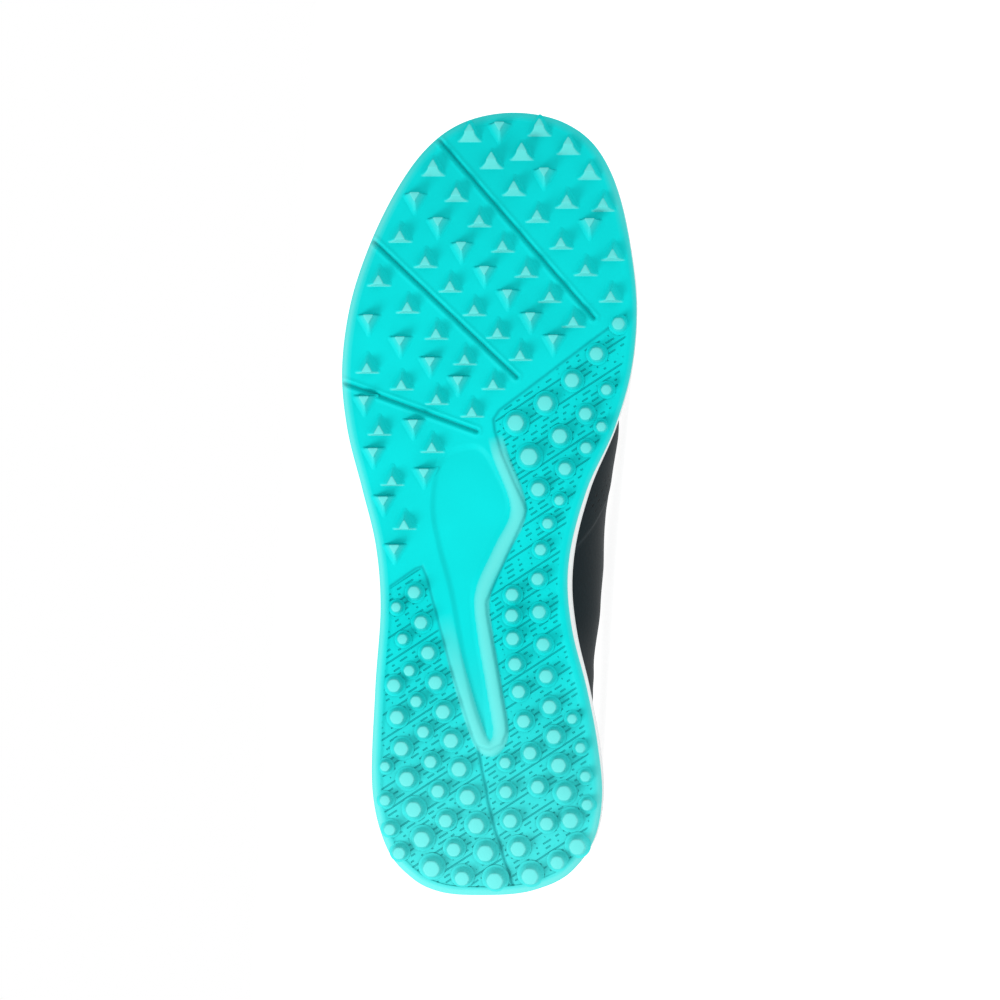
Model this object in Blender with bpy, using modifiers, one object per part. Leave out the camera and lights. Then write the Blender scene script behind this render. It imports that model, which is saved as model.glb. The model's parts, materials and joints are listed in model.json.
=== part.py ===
"""Turf shoe for the right foot, size EU 43, empty, lying on its inner side.

It is modelled in the shoe's own axes and then laid down:
x runs from the inner to the outer side, y from the heel to the toe,
z up from the plane that the lugs stand on. Lengths are in metres.
"""

import math

import bmesh
import bpy
import numpy as np
from mathutils import Matrix, Vector

MM = 0.001

# Driving sizes of the sole
SOLE_LENGTH = 0.298
SOLE_BALL_WIDTH = 0.1118
LUG_HEIGHT = 0.0042
LUG_SINK = 0.0020
PLATE_THICKNESS = 0.0036
RIM_WIDTH = 0.0032
RIM_DROP = 0.0016
TOE_SPRING = 0.0150
HEEL_BEVEL = 0.0045
ARCH_RISE = 0.0015
MIDSOLE_HEEL = 0.0215
LIP_HEIGHT = 0.0045
LIP_THICKNESS = 0.0022
LIP_SLOPE = 0.0004
FOOT_INSET = 0.0002
WAIST_BULGE_IN = 0.0012
WAIST_BULGE_OUT = 0.0008

# Driving sizes of the lugs
WEDGE_WIDTH = 0.0098
WEDGE_LENGTH = 0.0086
WEDGE_TOP = 0.38
WEDGE_STEEP_SIDE = 0.0010
STUD_BASE_RADIUS = 0.0044
STUD_TOP_SHARE = 0.52
STUD_SIDES = 8

# Driving sizes of the upper, which stands in from the sole's edge
HEEL_MARGIN = 0.0045
TOE_MARGIN = 0.0040
SIDE_MARGIN = 0.0059
UPPER_LENGTH = SOLE_LENGTH - HEEL_MARGIN - TOE_MARGIN
LAST_BALL_WIDTH = SOLE_BALL_WIDTH - 2 * SIDE_MARGIN
INSTEP_HEIGHT = 0.1080
HEEL_HEIGHT = 0.0930
UPPER_WALL = 0.0026
COLLAR_THICKNESS = 0.0072
THROAT_FRONT = 0.655
THROAT_TOP = 0.415
THROAT_FRONT_HALF = 0.0085
THROAT_TOP_HALF = 0.0205
THROAT_NOSE = 0.20
HEEL_LEAN = 0.0042
TOE_ROUNDING = 0.0045
OVERLAY_THICKNESS = 0.0010
OVERLAY_MARGIN = 0.0010
FIT_GAP = 0.0003

# Driving sizes of the loose parts
INSOLE_THICKNESS = 0.0042
INSOLE_SIDE_GAP = 0.0010
INSOLE_CHAMFER = 0.0012
TONGUE_THICKNESS = 0.0048
TONGUE_GAP = 0.0011
TONGUE_HALF_WIDTH = 0.0245
TONGUE_REACH = 0.0300
TONGUE_CROWN = 0.0030
LACE_WIDTH = 0.0068
LACE_THICKNESS = 0.0016
LACE_ROWS = 6
LACE_LIFT = 0.0016
LACE_CROSSING = 0.0010
EYELET_SETBACK = 0.0075

# Mesh steps
SOLE_STATIONS = 30
UPPER_STATIONS = 26
UPPER_ROWS = (0.0, 0.12, 0.26, 0.41, 0.56, 0.70, 0.82, 0.92, 1.0)

INNER, OUTER = -1, 1

# Outline of the outsole: along as a share of the sole's length from the heel,
# across as a share of its ball width, with the outer side positive.
SOLE_OUTLINE = (
    # along, across
    (0.000, 0.024),
    (0.005, 0.170),
    (0.022, 0.258),
    (0.060, 0.341),
    (0.130, 0.389),
    (0.260, 0.381),
    (0.370, 0.363),
    (0.445, 0.379),
    (0.518, 0.425),
    (0.595, 0.476),
    (0.665, 0.494),
    (0.747, 0.470),
    (0.824, 0.408),
    (0.900, 0.314),
    (0.952, 0.218),
    (0.985, 0.104),
    (1.000, -0.080),
    (0.985, -0.265),
    (0.952, -0.371),
    (0.900, -0.440),
    (0.824, -0.487),
    (0.747, -0.508),
    (0.671, -0.491),
    (0.594, -0.432),
    (0.518, -0.340),
    (0.441, -0.283),
    (0.395, -0.273),
    (0.339, -0.289),
    (0.263, -0.340),
    (0.195, -0.375),
    (0.130, -0.391),
    (0.080, -0.371),
    (0.033, -0.292),
    (0.007, -0.160),
)

# Feather line, where the upper stands on the midsole: along as a share of the
# upper's length, across as a share of the last's ball width.
FEATHER_OUTLINE = (
    # along, across
    (0.000, 0.010),
    (0.006, 0.130),
    (0.025, 0.225),
    (0.065, 0.300),
    (0.130, 0.345),
    (0.260, 0.362),
    (0.370, 0.365),
    (0.480, 0.405),
    (0.590, 0.470),
    (0.665, 0.488),
    (0.750, 0.463),
    (0.830, 0.400),
    (0.905, 0.300),
    (0.955, 0.205),
    (0.987, 0.095),
    (1.000, -0.090),
    (0.987, -0.255),
    (0.955, -0.355),
    (0.900, -0.425),
    (0.830, -0.470),
    (0.750, -0.492),
    (0.680, -0.482),
    (0.600, -0.430),
    (0.520, -0.331),
    (0.440, -0.266),
    (0.380, -0.256),
    (0.300, -0.298),
    (0.200, -0.340),
    (0.130, -0.338),
    (0.065, -0.292),
    (0.025, -0.212),
    (0.006, -0.110),
)

# Cross-sections of the upper. Widths are shares of the last's ball width and
# heights are shares of the instep height, apart from the topline's at the heel.
UPPER_SECTIONS = (
    # along, spine, swell_in, swell_out, rise, top, edge, shoulder, drop
    (0.00, 0.010, 0.045, 0.050, 0.230, 0.880, 0.270, 0.370, 0.230),
    (0.05, 0.005, 0.045, 0.055, 0.230, 0.862, 0.270, 0.365, 0.230),
    (0.12, -0.004, 0.045, 0.060, 0.220, 0.780, 0.265, 0.365, 0.200),
    (0.20, -0.012, 0.060, 0.070, 0.210, 0.715, 0.265, 0.385, 0.170),
    (0.28, -0.020, 0.160, 0.080, 0.215, 0.765, 0.262, 0.410, 0.180),
    (0.36, -0.030, 0.258, 0.095, 0.230, 0.885, 0.245, 0.410, 0.220),
    (0.42, -0.036, 0.282, 0.105, 0.240, 0.995, 0.208, 0.398, 0.200),
    (0.50, -0.042, 0.232, 0.100, 0.240, 0.915, 0.130, 0.370, 0.130),
    (0.58, -0.050, 0.120, 0.080, 0.225, 0.815, 0.112, 0.360, 0.070),
    (0.66, -0.056, 0.070, 0.060, 0.205, 0.720, 0.085, 0.350, 0.025),
    (0.74, -0.060, 0.050, 0.050, 0.195, 0.650, 0.000, 0.345, 0.000),
    (0.82, -0.064, 0.045, 0.045, 0.195, 0.602, 0.000, 0.340, 0.000),
    (0.90, -0.072, 0.045, 0.045, 0.185, 0.556, 0.000, 0.320, 0.000),
    (0.96, -0.082, 0.045, 0.045, 0.165, 0.512, 0.000, 0.300, 0.000),
    (1.00, -0.090, 0.045, 0.045, 0.110, 0.458, 0.000, 0.300, 0.000),
)
SECTION_COLUMNS = ("spine", "swell_in", "swell_out", "rise", "top", "edge", "shoulder", "drop")

# Lean of the heel's back: height as a share of its wall, and backward push as
# a share of the lean.
HEEL_CURVE = ((0.0, 0.0), (0.30, 0.80), (0.62, 0.43), (1.0, -1.0))
HEEL_CURVE_REACH = 0.24

# Rounding of the toe's tip, in the same way, with the forward push.
TOE_CURVE = ((0.0, 0.0), (0.40, 0.13), (0.75, -0.27), (1.0, -1.0))
TOE_CURVE_REACH = 0.12

# Edges of the layers on the upper, in the side view: share of the upper's
# length, and height as a share of the way from the midsole's lip to the topline.
TOE_CAP_EDGE = ((0.700, 0.150), (0.865, 0.460), (0.895, 1.200))
HEEL_COUNTER_EDGE = ((0.255, 0.020), (0.155, 0.480), (0.030, 0.610))
EYESTAY_EDGE = ((0.402, 0.830), (0.545, 0.730), (0.670, 0.850))
EYESTAY_FRONT = ((0.688, 0.890), (0.701, 0.960), (0.706, 1.200))
ABOVE_TOP = 1.30

# Rows of wedge lugs on the forefoot: start, middle and end of each bent row, and
# which way its wedges point, T to the toe or H to the heel. Along and across
# are shares as in SOLE_OUTLINE.
WEDGE_ROWS = (
    # along, across, mid along, mid across, end along, end across, wedges
    (0.978, -0.173, 0.939, -0.313, 0.881, -0.394, "TTTT"),
    (0.976, -0.037, 0.901, -0.231, 0.818, -0.428, "HTHTHT"),
    (0.971, 0.065, 0.867, -0.170, 0.765, -0.422, "TTTTTTT"),
    (0.927, 0.187, 0.829, -0.054, 0.733, -0.296, "TTTTTTT"),
    (0.886, 0.248, 0.792, 0.007, 0.705, -0.228, "HHHHHHH"),
    (0.842, 0.296, 0.763, 0.082, 0.691, -0.116, "TTTTTT"),
    (0.786, 0.367, 0.718, 0.170, 0.654, -0.024, "TTTTT"),
    (0.731, 0.401, 0.690, 0.241, 0.653, 0.095, "HHHH"),
    (0.675, 0.405, 0.644, 0.228, 0.619, 0.048, "TTTT"),
    (0.628, 0.415, 0.614, 0.333, 0.598, 0.248, "HH"),
    (0.596, 0.364, 0.584, 0.275, 0.574, 0.184, "TT"),
    (0.562, 0.384, 0.548, 0.296, 0.536, 0.211, "HH"),
    (0.532, 0.320, 0.504, 0.299, 0.476, 0.279, "TT"),
    (0.501, 0.350, 0.471, 0.333, 0.439, 0.313, "HH"),
)

# Rows of round studs: as above, then how many, and the size at the start and
# at the end as shares of the stud's base radius.
STUD_ROWS = (
    # along, across, mid along, mid across, end along, end across, count, size, end size
    (0.727, -0.449, 0.656, -0.292, 0.602, -0.101, 5, 0.80, 1.06),
    (0.644, -0.408, 0.599, -0.296, 0.559, -0.146, 4, 0.66, 1.12),
    (0.597, -0.391, 0.557, -0.306, 0.518, -0.177, 4, 0.62, 0.90),
    (0.504, -0.248, 0.441, -0.184, 0.361, -0.180, 5, 0.60, 0.85),
    (0.320, -0.194, 0.185, -0.238, 0.065, -0.309, 8, 0.84, 1.05),
    (0.383, -0.088, 0.242, -0.119, 0.045, -0.241, 10, 0.82, 0.88),
    (0.226, -0.292, 0.171, -0.330, 0.117, -0.343, 4, 0.62, 0.70),
    (0.170, -0.065, 0.097, -0.082, 0.028, -0.148, 5, 0.72, 1.10),
    (0.386, 0.245, 0.198, 0.119, 0.022, -0.028, 11, 0.80, 1.10),
    (0.367, 0.306, 0.190, 0.201, 0.025, 0.083, 10, 0.62, 0.95),
    (0.268, 0.313, 0.149, 0.269, 0.037, 0.187, 7, 0.86, 1.10),
    (0.165, 0.343, 0.103, 0.337, 0.056, 0.296, 4, 0.62, 0.80),
)

# Straight grooves across the forefoot: both ends.
GROOVES = (
    # along from, across from, along to, across to
    (0.963, 0.170, 0.736, -0.364),
    (0.832, 0.384, 0.661, -0.102),
    (0.653, 0.476, 0.592, 0.034),
)
GROOVE_RADIUS = 0.0011

# Smooth sunk panel along the arch, and the rib on its inner border.
PANEL_OUTLINE = (
    # along, across
    (0.575, 0.075),
    (0.554, 0.167),
    (0.496, 0.194),
    (0.446, 0.173),
    (0.390, 0.133),
    (0.296, 0.085),
    (0.231, 0.041),
    (0.202, 0.000),
    (0.250, -0.010),
    (0.335, 0.024),
    (0.390, 0.036),
    (0.441, -0.016),
    (0.496, -0.086),
    (0.543, -0.040),
    (0.571, 0.010),
)
PANEL_DEPTH = 0.0010
RIB_PATH = (
    # along, across
    (0.586, -0.036),
    (0.562, -0.054),
    (0.491, -0.119),
    (0.439, -0.061),
    (0.380, 0.003),
    (0.335, -0.010),
    (0.263, -0.041),
    (0.205, -0.058),
    (0.185, -0.010),
)
RIB_RADIUS = 0.0026
RIB_SINK = 0.0012


def steady_slopes(places, values):
    """Slopes for a smooth curve through the points that never overshoots them."""
    steps = np.diff(places)
    rises = np.diff(values) / steps
    slopes = np.zeros(len(places))
    for i in range(1, len(places) - 1):
        if rises[i - 1] * rises[i] > 0:
            near, far = 2 * steps[i] + steps[i - 1], steps[i] + 2 * steps[i - 1]
            slopes[i] = (near + far) / (near / rises[i - 1] + far / rises[i])
    slopes[0], slopes[-1] = rises[0], rises[-1]
    return slopes


def smooth(places, values, at):
    """Value at `at` on the smooth curve through (places, values)."""
    places, values = np.asarray(places, float), np.asarray(values, float)
    slopes = steady_slopes(places, values)
    at = min(max(float(at), places[0]), places[-1])
    i = min(int(np.searchsorted(places, at, side="right")) - 1, len(places) - 2)
    step = places[i + 1] - places[i]
    t = (at - places[i]) / step
    from_start = (1 + 2 * t) * (1 - t) ** 2 * values[i] + t * (1 - t) ** 2 * step * slopes[i]
    from_end = t * t * (3 - 2 * t) * values[i + 1] + t * t * (t - 1) * step * slopes[i + 1]
    return float(from_start + from_end)


def closed_curve(points, per_span=14):
    """Points of a smooth closed curve through the given ones (centripetal Catmull-Rom)."""
    points = [np.array(p, float) for p in points]
    count, made = len(points), []
    for i in range(count):
        p0, p1, p2, p3 = (points[(i + k - 1) % count] for k in range(4))
        t1 = math.sqrt(np.linalg.norm(p1 - p0))
        t2 = t1 + math.sqrt(np.linalg.norm(p2 - p1))
        t3 = t2 + math.sqrt(np.linalg.norm(p3 - p2))
        for k in range(per_span):
            t = t1 + (t2 - t1) * k / per_span
            a1 = p0 * (t1 - t) / t1 + p1 * t / t1
            a2 = p1 * (t2 - t) / (t2 - t1) + p2 * (t - t1) / (t2 - t1)
            a3 = p2 * (t3 - t) / (t3 - t2) + p3 * (t - t2) / (t3 - t2)
            b1 = a1 * (t2 - t) / t2 + a2 * t / t2
            b2 = a2 * (t3 - t) / (t3 - t1) + a3 * (t - t1) / (t3 - t1)
            made.append(b1 * (t2 - t) / (t2 - t1) + b2 * (t - t1) / (t2 - t1))
    return np.array(made)


def open_curve(points, per_span=4):
    """Points of a smooth open curve through the given ones."""
    first = tuple(2 * a - b for a, b in zip(points[0], points[1]))
    last = tuple(2 * a - b for a, b in zip(points[-1], points[-2]))
    loop = closed_curve([first, *points, last], per_span)
    return loop[per_span : per_span * len(points) + 1]


class Outline:
    """A closed outline with an inner and an outer edge, each running from heel to toe."""

    def __init__(self, shares, length, width, setback):
        loop = closed_curve(shares) * (length, width)
        loop[:, 0] += setback
        heel, toe = int(loop[:, 0].argmin()), int(loop[:, 0].argmax())
        loop = np.roll(loop, -heel, axis=0)
        toe = (toe - heel) % len(loop)
        self.edges = {OUTER: loop[: toe + 1], INNER: np.vstack([loop[toe:], loop[:1]])[::-1]}
        self.heel, self.toe = loop[0, 0], loop[toe, 0]

    def across(self, side, y):
        edge = self.edges[side]
        return float(np.interp(y, edge[:, 0], edge[:, 1]))

    def point(self, side, share, inset=0.0):
        """(x, y) at a share of the length, moved inward by inset along the edge's normal."""
        span = self.toe - self.heel
        y = self.heel + span * share
        if share <= 0:
            return self.edges[side][0, 1], self.heel + inset
        if share >= 1:
            return self.edges[side][-1, 1], self.toe - inset
        step = span * min(share, 1 - share, 0.004) * 0.5
        dx = self.across(side, y + step) - self.across(side, y - step)
        normal = np.array([-side * 2 * step, side * dx])
        normal /= np.linalg.norm(normal)
        return self.across(side, y) + inset * normal[0], y + inset * normal[1]


def rounded_shares(count):
    """Shares from 0 to 1, close together at both ends, where an outline turns."""
    return [(1 - math.cos(math.pi * i / count)) / 2 for i in range(count + 1)]


sole_outline = Outline(SOLE_OUTLINE, SOLE_LENGTH, SOLE_BALL_WIDTH, 0.0)
feather_outline = Outline(FEATHER_OUTLINE, UPPER_LENGTH, LAST_BALL_WIDTH, HEEL_MARGIN)


def tip_plane(y):
    """Height of the lugs' tips: flat at the heel and the ball, raised at both ends."""
    rows = (
        (0.00, HEEL_BEVEL),
        (0.05, HEEL_BEVEL * 0.36),
        (0.12, 0.0),
        (0.29, 0.0),
        (0.43, ARCH_RISE),
        (0.56, 0.0),
        (0.68, 0.0),
        (0.78, TOE_SPRING * 0.12),
        (0.88, TOE_SPRING * 0.42),
        (1.00, TOE_SPRING),
    )
    places, values = zip(*rows)
    return smooth(places, values, y / SOLE_LENGTH)


def plate_face(y):
    """Height of the outsole's lower face, between the lugs."""
    return tip_plane(y) + LUG_HEIGHT


def plate_top(y):
    return plate_face(y) + PLATE_THICKNESS


def midsole_bottom(y):
    return plate_top(y) + FIT_GAP


def midsole_thickness(y):
    rows = ((0.0, 0.98), (0.18, 1.0), (0.38, 0.86), (0.60, 0.58), (0.78, 0.47), (1.0, 0.40))
    places, values = zip(*rows)
    return MIDSOLE_HEEL * smooth(places, values, y / SOLE_LENGTH)


def midsole_top(y):
    """Height of the footbed that the upper and the insole stand on."""
    return midsole_bottom(y) + midsole_thickness(y)


def section_value(column, share):
    place = SECTION_COLUMNS.index(column) + 1
    return smooth([row[0] for row in UPPER_SECTIONS], [row[place] for row in UPPER_SECTIONS], share)


def end_taper(share):
    """Narrows a section's arms towards the heel's back and the toe's tip."""
    return math.sqrt(max(0.0, 1 - abs(2 * share - 1) ** 11))


def throat_half(share):
    """Half the throat's width, 0 where the vamp is closed."""
    if share >= THROAT_FRONT:
        return 0.0
    back = (THROAT_FRONT - share) / (THROAT_FRONT - THROAT_TOP)
    wide = THROAT_FRONT_HALF + (THROAT_TOP_HALF - THROAT_FRONT_HALF) * min(back, 1.0)
    nose = min(back / THROAT_NOSE, 1.0)
    return wide * math.sqrt(1 - (1 - nose) ** 2)


def edge_half(share):
    """Distance of the upper's top edge from the middle: throat in front, collar behind."""
    collar = section_value("edge", share) * LAST_BALL_WIDTH
    ahead = min(max((share - 0.34) / (THROAT_TOP - 0.34), 0.0), 1.0)
    ease = ahead * ahead * (3 - 2 * ahead)
    return collar * (1 - ease) + throat_half(share) * ease


def top_height(share):
    """Height of the topline, or of the vamp's ridge ahead of the throat."""
    plain = section_value("top", share) * INSTEP_HEIGHT
    heel_part = smooth((0.0, 0.12, 0.24), (1.0, 0.6, 0.0), share)
    return plain + heel_part * (HEEL_HEIGHT - 0.88 * INSTEP_HEIGHT)


def upper_point(side, share, rise):
    """A point of the upper's outer surface.

    share runs from the heel's back to the toe's tip, and rise from the
    feather line at 0 to the top edge at 1, along a cubic curve.
    """
    x_foot, y = feather_outline.point(side, share)
    z_foot = midsole_top(y) + FIT_GAP
    z_top = top_height(share)
    taper = end_taper(share)
    width = LAST_BALL_WIDTH * taper
    swell = section_value("swell_in" if side == INNER else "swell_out", share) * width
    lift = section_value("rise", share) * INSTEP_HEIGHT
    spine = section_value("spine", share) * LAST_BALL_WIDTH
    x_top = spine + side * edge_half(share) * taper
    shoulder = spine + side * section_value("shoulder", share) * width
    drop = section_value("drop", share) * INSTEP_HEIGHT
    arms = (
        (x_foot, z_foot),
        (x_foot + side * swell, z_foot + min(lift, 0.6 * (z_top - z_foot))),
        (shoulder, z_top - drop),
        (x_top, z_top),
    )
    weights = ((1 - rise) ** 3, 3 * rise * (1 - rise) ** 2, 3 * rise * rise * (1 - rise), rise**3)
    x = sum(w * a[0] for w, a in zip(weights, arms))
    z = sum(w * a[1] for w, a in zip(weights, arms))
    wall_share = (z - z_foot) / max(z_top - z_foot, MM)
    heel_fade = max(0.0, 1 - share / HEEL_CURVE_REACH) ** 2
    toe_fade = max(0.0, 1 - (1 - share) / TOE_CURVE_REACH) ** 2
    y -= HEEL_LEAN * heel_fade * smooth(*zip(*HEEL_CURVE), wall_share)
    y += TOE_ROUNDING * toe_fade * smooth(*zip(*TOE_CURVE), wall_share)
    return Vector((x, y, z))


def upper_normal(side, share, rise):
    """Outward normal of the upper's surface, found from points close by."""
    step = 0.004
    low_s, high_s = max(share - step, 0.001), min(share + step, 0.999)
    low_r, high_r = max(rise - step, 0.0), min(rise + step, 1.0)
    along = upper_point(side, high_s, rise) - upper_point(side, low_s, rise)
    up = upper_point(side, share, high_r) - upper_point(side, share, low_r)
    return (along.cross(up) * side).normalized()


def new_material(name, colour, roughness, metallic=0.0):
    material = bpy.data.materials.new(name)
    material.use_nodes = True
    shader = material.node_tree.nodes["Principled BSDF"]
    shader.inputs["Base Color"].default_value = (*colour, 1.0)
    shader.inputs["Roughness"].default_value = roughness
    shader.inputs["Metallic"].default_value = metallic
    return material


def new_object(name, mesh, collection, material=None):
    item = bpy.data.objects.new(name, mesh)
    collection.objects.link(item)
    if material:
        mesh.materials.clear()
        mesh.materials.append(material)
    return item


def finish_mesh(bm, name, merge=1e-6):
    bmesh.ops.remove_doubles(bm, verts=bm.verts, dist=merge)
    bmesh.ops.recalc_face_normals(bm, faces=bm.faces)
    mesh = bpy.data.meshes.new(name)
    bm.to_mesh(mesh)
    bm.free()
    mesh.shade_smooth()
    mesh.set_sharp_from_angle(angle=math.radians(35))
    return mesh


def add_boolean(item, other, operation):
    """Cuts, joins or meets item with other."""
    modifier = item.modifiers.new(operation.lower(), "BOOLEAN")
    modifier.operation = operation
    modifier.object = other
    modifier.solver = "EXACT"


def lofted(rows, name):
    """A closed solid from rows of points on both sides.

    Each row maps a side to its points from heel to toe. Neighbouring rows are
    joined on each side, and the first and the last rows are bridged across.
    """
    bm = bmesh.new()
    grid = {side: [[bm.verts.new(p) for p in row[side]] for row in rows] for side in (INNER, OUTER)}
    stations = len(rows[0][INNER])
    for side in (INNER, OUTER):
        for low, high in zip(grid[side], grid[side][1:]):
            for i in range(stations - 1):
                bm.faces.new((low[i], low[i + 1], high[i + 1], high[i]))
    for end in (0, -1):
        a, b = grid[INNER][end], grid[OUTER][end]
        for i in range(stations - 1):
            bm.faces.new((a[i], a[i + 1], b[i + 1], b[i]))
    return finish_mesh(bm, name)


def outline_row(outline, shares, inset, height):
    """A row at an inset from an outline, at the height that height(y) gives."""
    row = {}
    for side in (INNER, OUTER):
        places = [outline.point(side, s, inset) for s in shares]
        row[side] = [Vector((x, y, height(y))) for x, y in places]
    return row


def sole_place(along, across):
    """Point of the outsole's lower face, with the frame that a lug stands in."""
    y = along * SOLE_LENGTH
    step = 0.002
    slope = (plate_face(y + step) - plate_face(y - step)) / (2 * step)
    forward = Vector((0, 1, slope)).normalized()
    right = Vector((1, 0, 0))
    down = forward.cross(right)
    frame = Matrix((right, forward, -down)).transposed().to_4x4()
    frame.translation = (across * SOLE_BALL_WIDTH, y, plate_face(y))
    return frame


def bent_row(row, count):
    """Even places along the curve through a row's start, middle and end."""
    for i in range(count):
        t = i / (count - 1)
        weights = (2 * (t - 0.5) * (t - 1), 4 * t * (1 - t), 2 * t * (t - 0.5))
        yield tuple(sum(w * row[2 * n + k] for n, w in enumerate(weights)) for k in (0, 1)) + (t,)


def rows_of_wedges():
    """Places of the wedges: along, across, and 1 or -1 for the way each points."""
    for *row, marks in WEDGE_ROWS:
        for (along, across, _), mark in zip(bent_row(row, len(marks)), marks):
            yield along, across, 1 if mark == "T" else -1


def rows_of_studs():
    """Places of the studs: along, across and size."""
    for *row, count, size, end_size in STUD_ROWS:
        for along, across, t in bent_row(row, count):
            yield along, across, size + (end_size - size) * t


def add_wedge(bm, along, across, way):
    """A three-sided lug: steep on its flat side, sloping to its point."""
    height = LUG_HEIGHT + LUG_SINK
    made = bmesh.ops.create_cone(bm, segments=3, radius1=1, radius2=0.5, depth=height, cap_ends=True)
    back = -WEDGE_LENGTH / 3
    for vert in made["verts"]:
        low = vert.co.z < 0
        width = WEDGE_WIDTH * (1 if low else WEDGE_TOP)
        length = WEDGE_LENGTH * (1 if low else WEDGE_TOP)
        start = back + (0 if low else WEDGE_STEEP_SIDE)
        angle = math.atan2(vert.co.y, vert.co.x)
        corner = round(angle / (math.tau / 3)) % 3
        x, y = ((0, start + length), (-width / 2, start), (width / 2, start))[corner]
        vert.co = Vector((x, y, LUG_SINK if low else LUG_SINK - height))
    turn = Matrix.Rotation(0 if way > 0 else math.pi, 4, "Z")
    bmesh.ops.transform(bm, matrix=sole_place(along, across) @ turn, verts=made["verts"])


def add_stud(bm, along, across, size):
    """A tapered round lug with a flat top."""
    height = LUG_HEIGHT + LUG_SINK
    radius = STUD_BASE_RADIUS * size
    made = bmesh.ops.create_cone(
        bm,
        segments=STUD_SIDES,
        radius1=radius * STUD_TOP_SHARE,
        radius2=radius,
        depth=height,
        cap_ends=True,
    )
    centre = Matrix.Translation((0, 0, LUG_SINK - height / 2))
    bmesh.ops.transform(bm, matrix=sole_place(along, across) @ centre, verts=made["verts"])


def make_lugs(collection):
    bm = bmesh.new()
    for place in rows_of_wedges():
        add_wedge(bm, *place)
    for place in rows_of_studs():
        add_stud(bm, *place)
    bmesh.ops.recalc_face_normals(bm, faces=bm.faces)
    mesh = bpy.data.meshes.new("lugs")
    bm.to_mesh(mesh)
    bm.free()
    return new_object("lugs", mesh, collection)


def make_tube(name, points, radius, collection, resolution=1):
    """A round bar along points, with closed ends, as a mesh object."""
    curve = bpy.data.curves.new(name, "CURVE")
    curve.dimensions = "3D"
    curve.bevel_depth = radius
    curve.bevel_resolution = resolution
    curve.use_fill_caps = True
    spline = curve.splines.new("POLY")
    spline.points.add(len(points) - 1)
    for point, place in zip(spline.points, points):
        point.co = (*place, 1)
    item = bpy.data.objects.new(name, curve)
    collection.objects.link(item)
    depsgraph = bpy.context.evaluated_depsgraph_get()
    depsgraph.update()
    mesh = bpy.data.meshes.new_from_object(item.evaluated_get(depsgraph), depsgraph=depsgraph)
    bpy.data.objects.remove(item)
    bm = bmesh.new()
    bm.from_mesh(mesh)
    bmesh.ops.remove_doubles(bm, verts=bm.verts, dist=1e-6)
    bmesh.ops.recalc_face_normals(bm, faces=bm.faces)
    bm.to_mesh(mesh)
    bm.free()
    return new_object(name, mesh, collection)


def make_panel_cutter(collection):
    """A block with the panel's outline that reaches PANEL_DEPTH into the plate."""
    loop = closed_curve(PANEL_OUTLINE, per_span=3)
    bm = bmesh.new()
    low, high = [], []
    for along, across in loop:
        x, y = across * SOLE_BALL_WIDTH, along * SOLE_LENGTH
        low.append(bm.verts.new((x, y, plate_face(y) - LUG_HEIGHT)))
        high.append(bm.verts.new((x, y, plate_face(y) + PANEL_DEPTH)))
    for i in range(len(loop)):
        k = (i + 1) % len(loop)
        bm.faces.new((low[i], low[k], high[k], high[i]))
    bmesh.ops.triangle_fill(bm, edges=[bm.edges.get((low[i - 1], low[i])) for i in range(len(low))])
    bmesh.ops.triangle_fill(bm, edges=[bm.edges.get((high[i - 1], high[i])) for i in range(len(high))])
    return new_object("panel_cutter", finish_mesh(bm, "panel_cutter"), collection)


def make_outsole(parts, cutters, material):
    """Rubber outsole: plate with a bevelled rim, grooves, sunk panel, rib and lugs."""
    shares = rounded_shares(SOLE_STATIONS)
    rows = [
        outline_row(sole_outline, shares, RIM_WIDTH, plate_face),
        outline_row(sole_outline, shares, 0.0, lambda y: plate_face(y) + RIM_DROP),
        outline_row(sole_outline, shares, 0.0, plate_top),
    ]
    outsole = new_object("outsole", lofted(rows, "outsole"), parts, material)
    for n, (a0, c0, a1, c1) in enumerate(GROOVES):
        points = []
        for t in (0.0, 0.25, 0.5, 0.75, 1.0):
            y = (a0 + (a1 - a0) * t) * SOLE_LENGTH
            points.append((((c0 + (c1 - c0) * t) * SOLE_BALL_WIDTH), y, plate_face(y)))
        add_boolean(outsole, make_tube(f"groove_{n}", points, GROOVE_RADIUS, cutters), "DIFFERENCE")
    add_boolean(outsole, make_panel_cutter(cutters), "DIFFERENCE")
    rib = []
    for along, across in open_curve(RIB_PATH, 3):
        y = along * SOLE_LENGTH
        rib.append((across * SOLE_BALL_WIDTH, y, plate_face(y) + RIB_SINK))
    add_boolean(outsole, make_tube("arch_rib", rib, RIB_RADIUS, cutters), "UNION")
    add_boolean(outsole, make_lugs(cutters), "UNION")
    return outsole


def side_bulge(share, side):
    """How far the midsole's wall stands out past the outsole's edge."""
    waist = smooth((0.0, 0.22, 0.42, 0.58, 1.0), (0.0, 0.3, 1.0, 0.25, 0.0), share)
    return (WAIST_BULGE_IN if side == INNER else WAIST_BULGE_OUT) * waist


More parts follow.
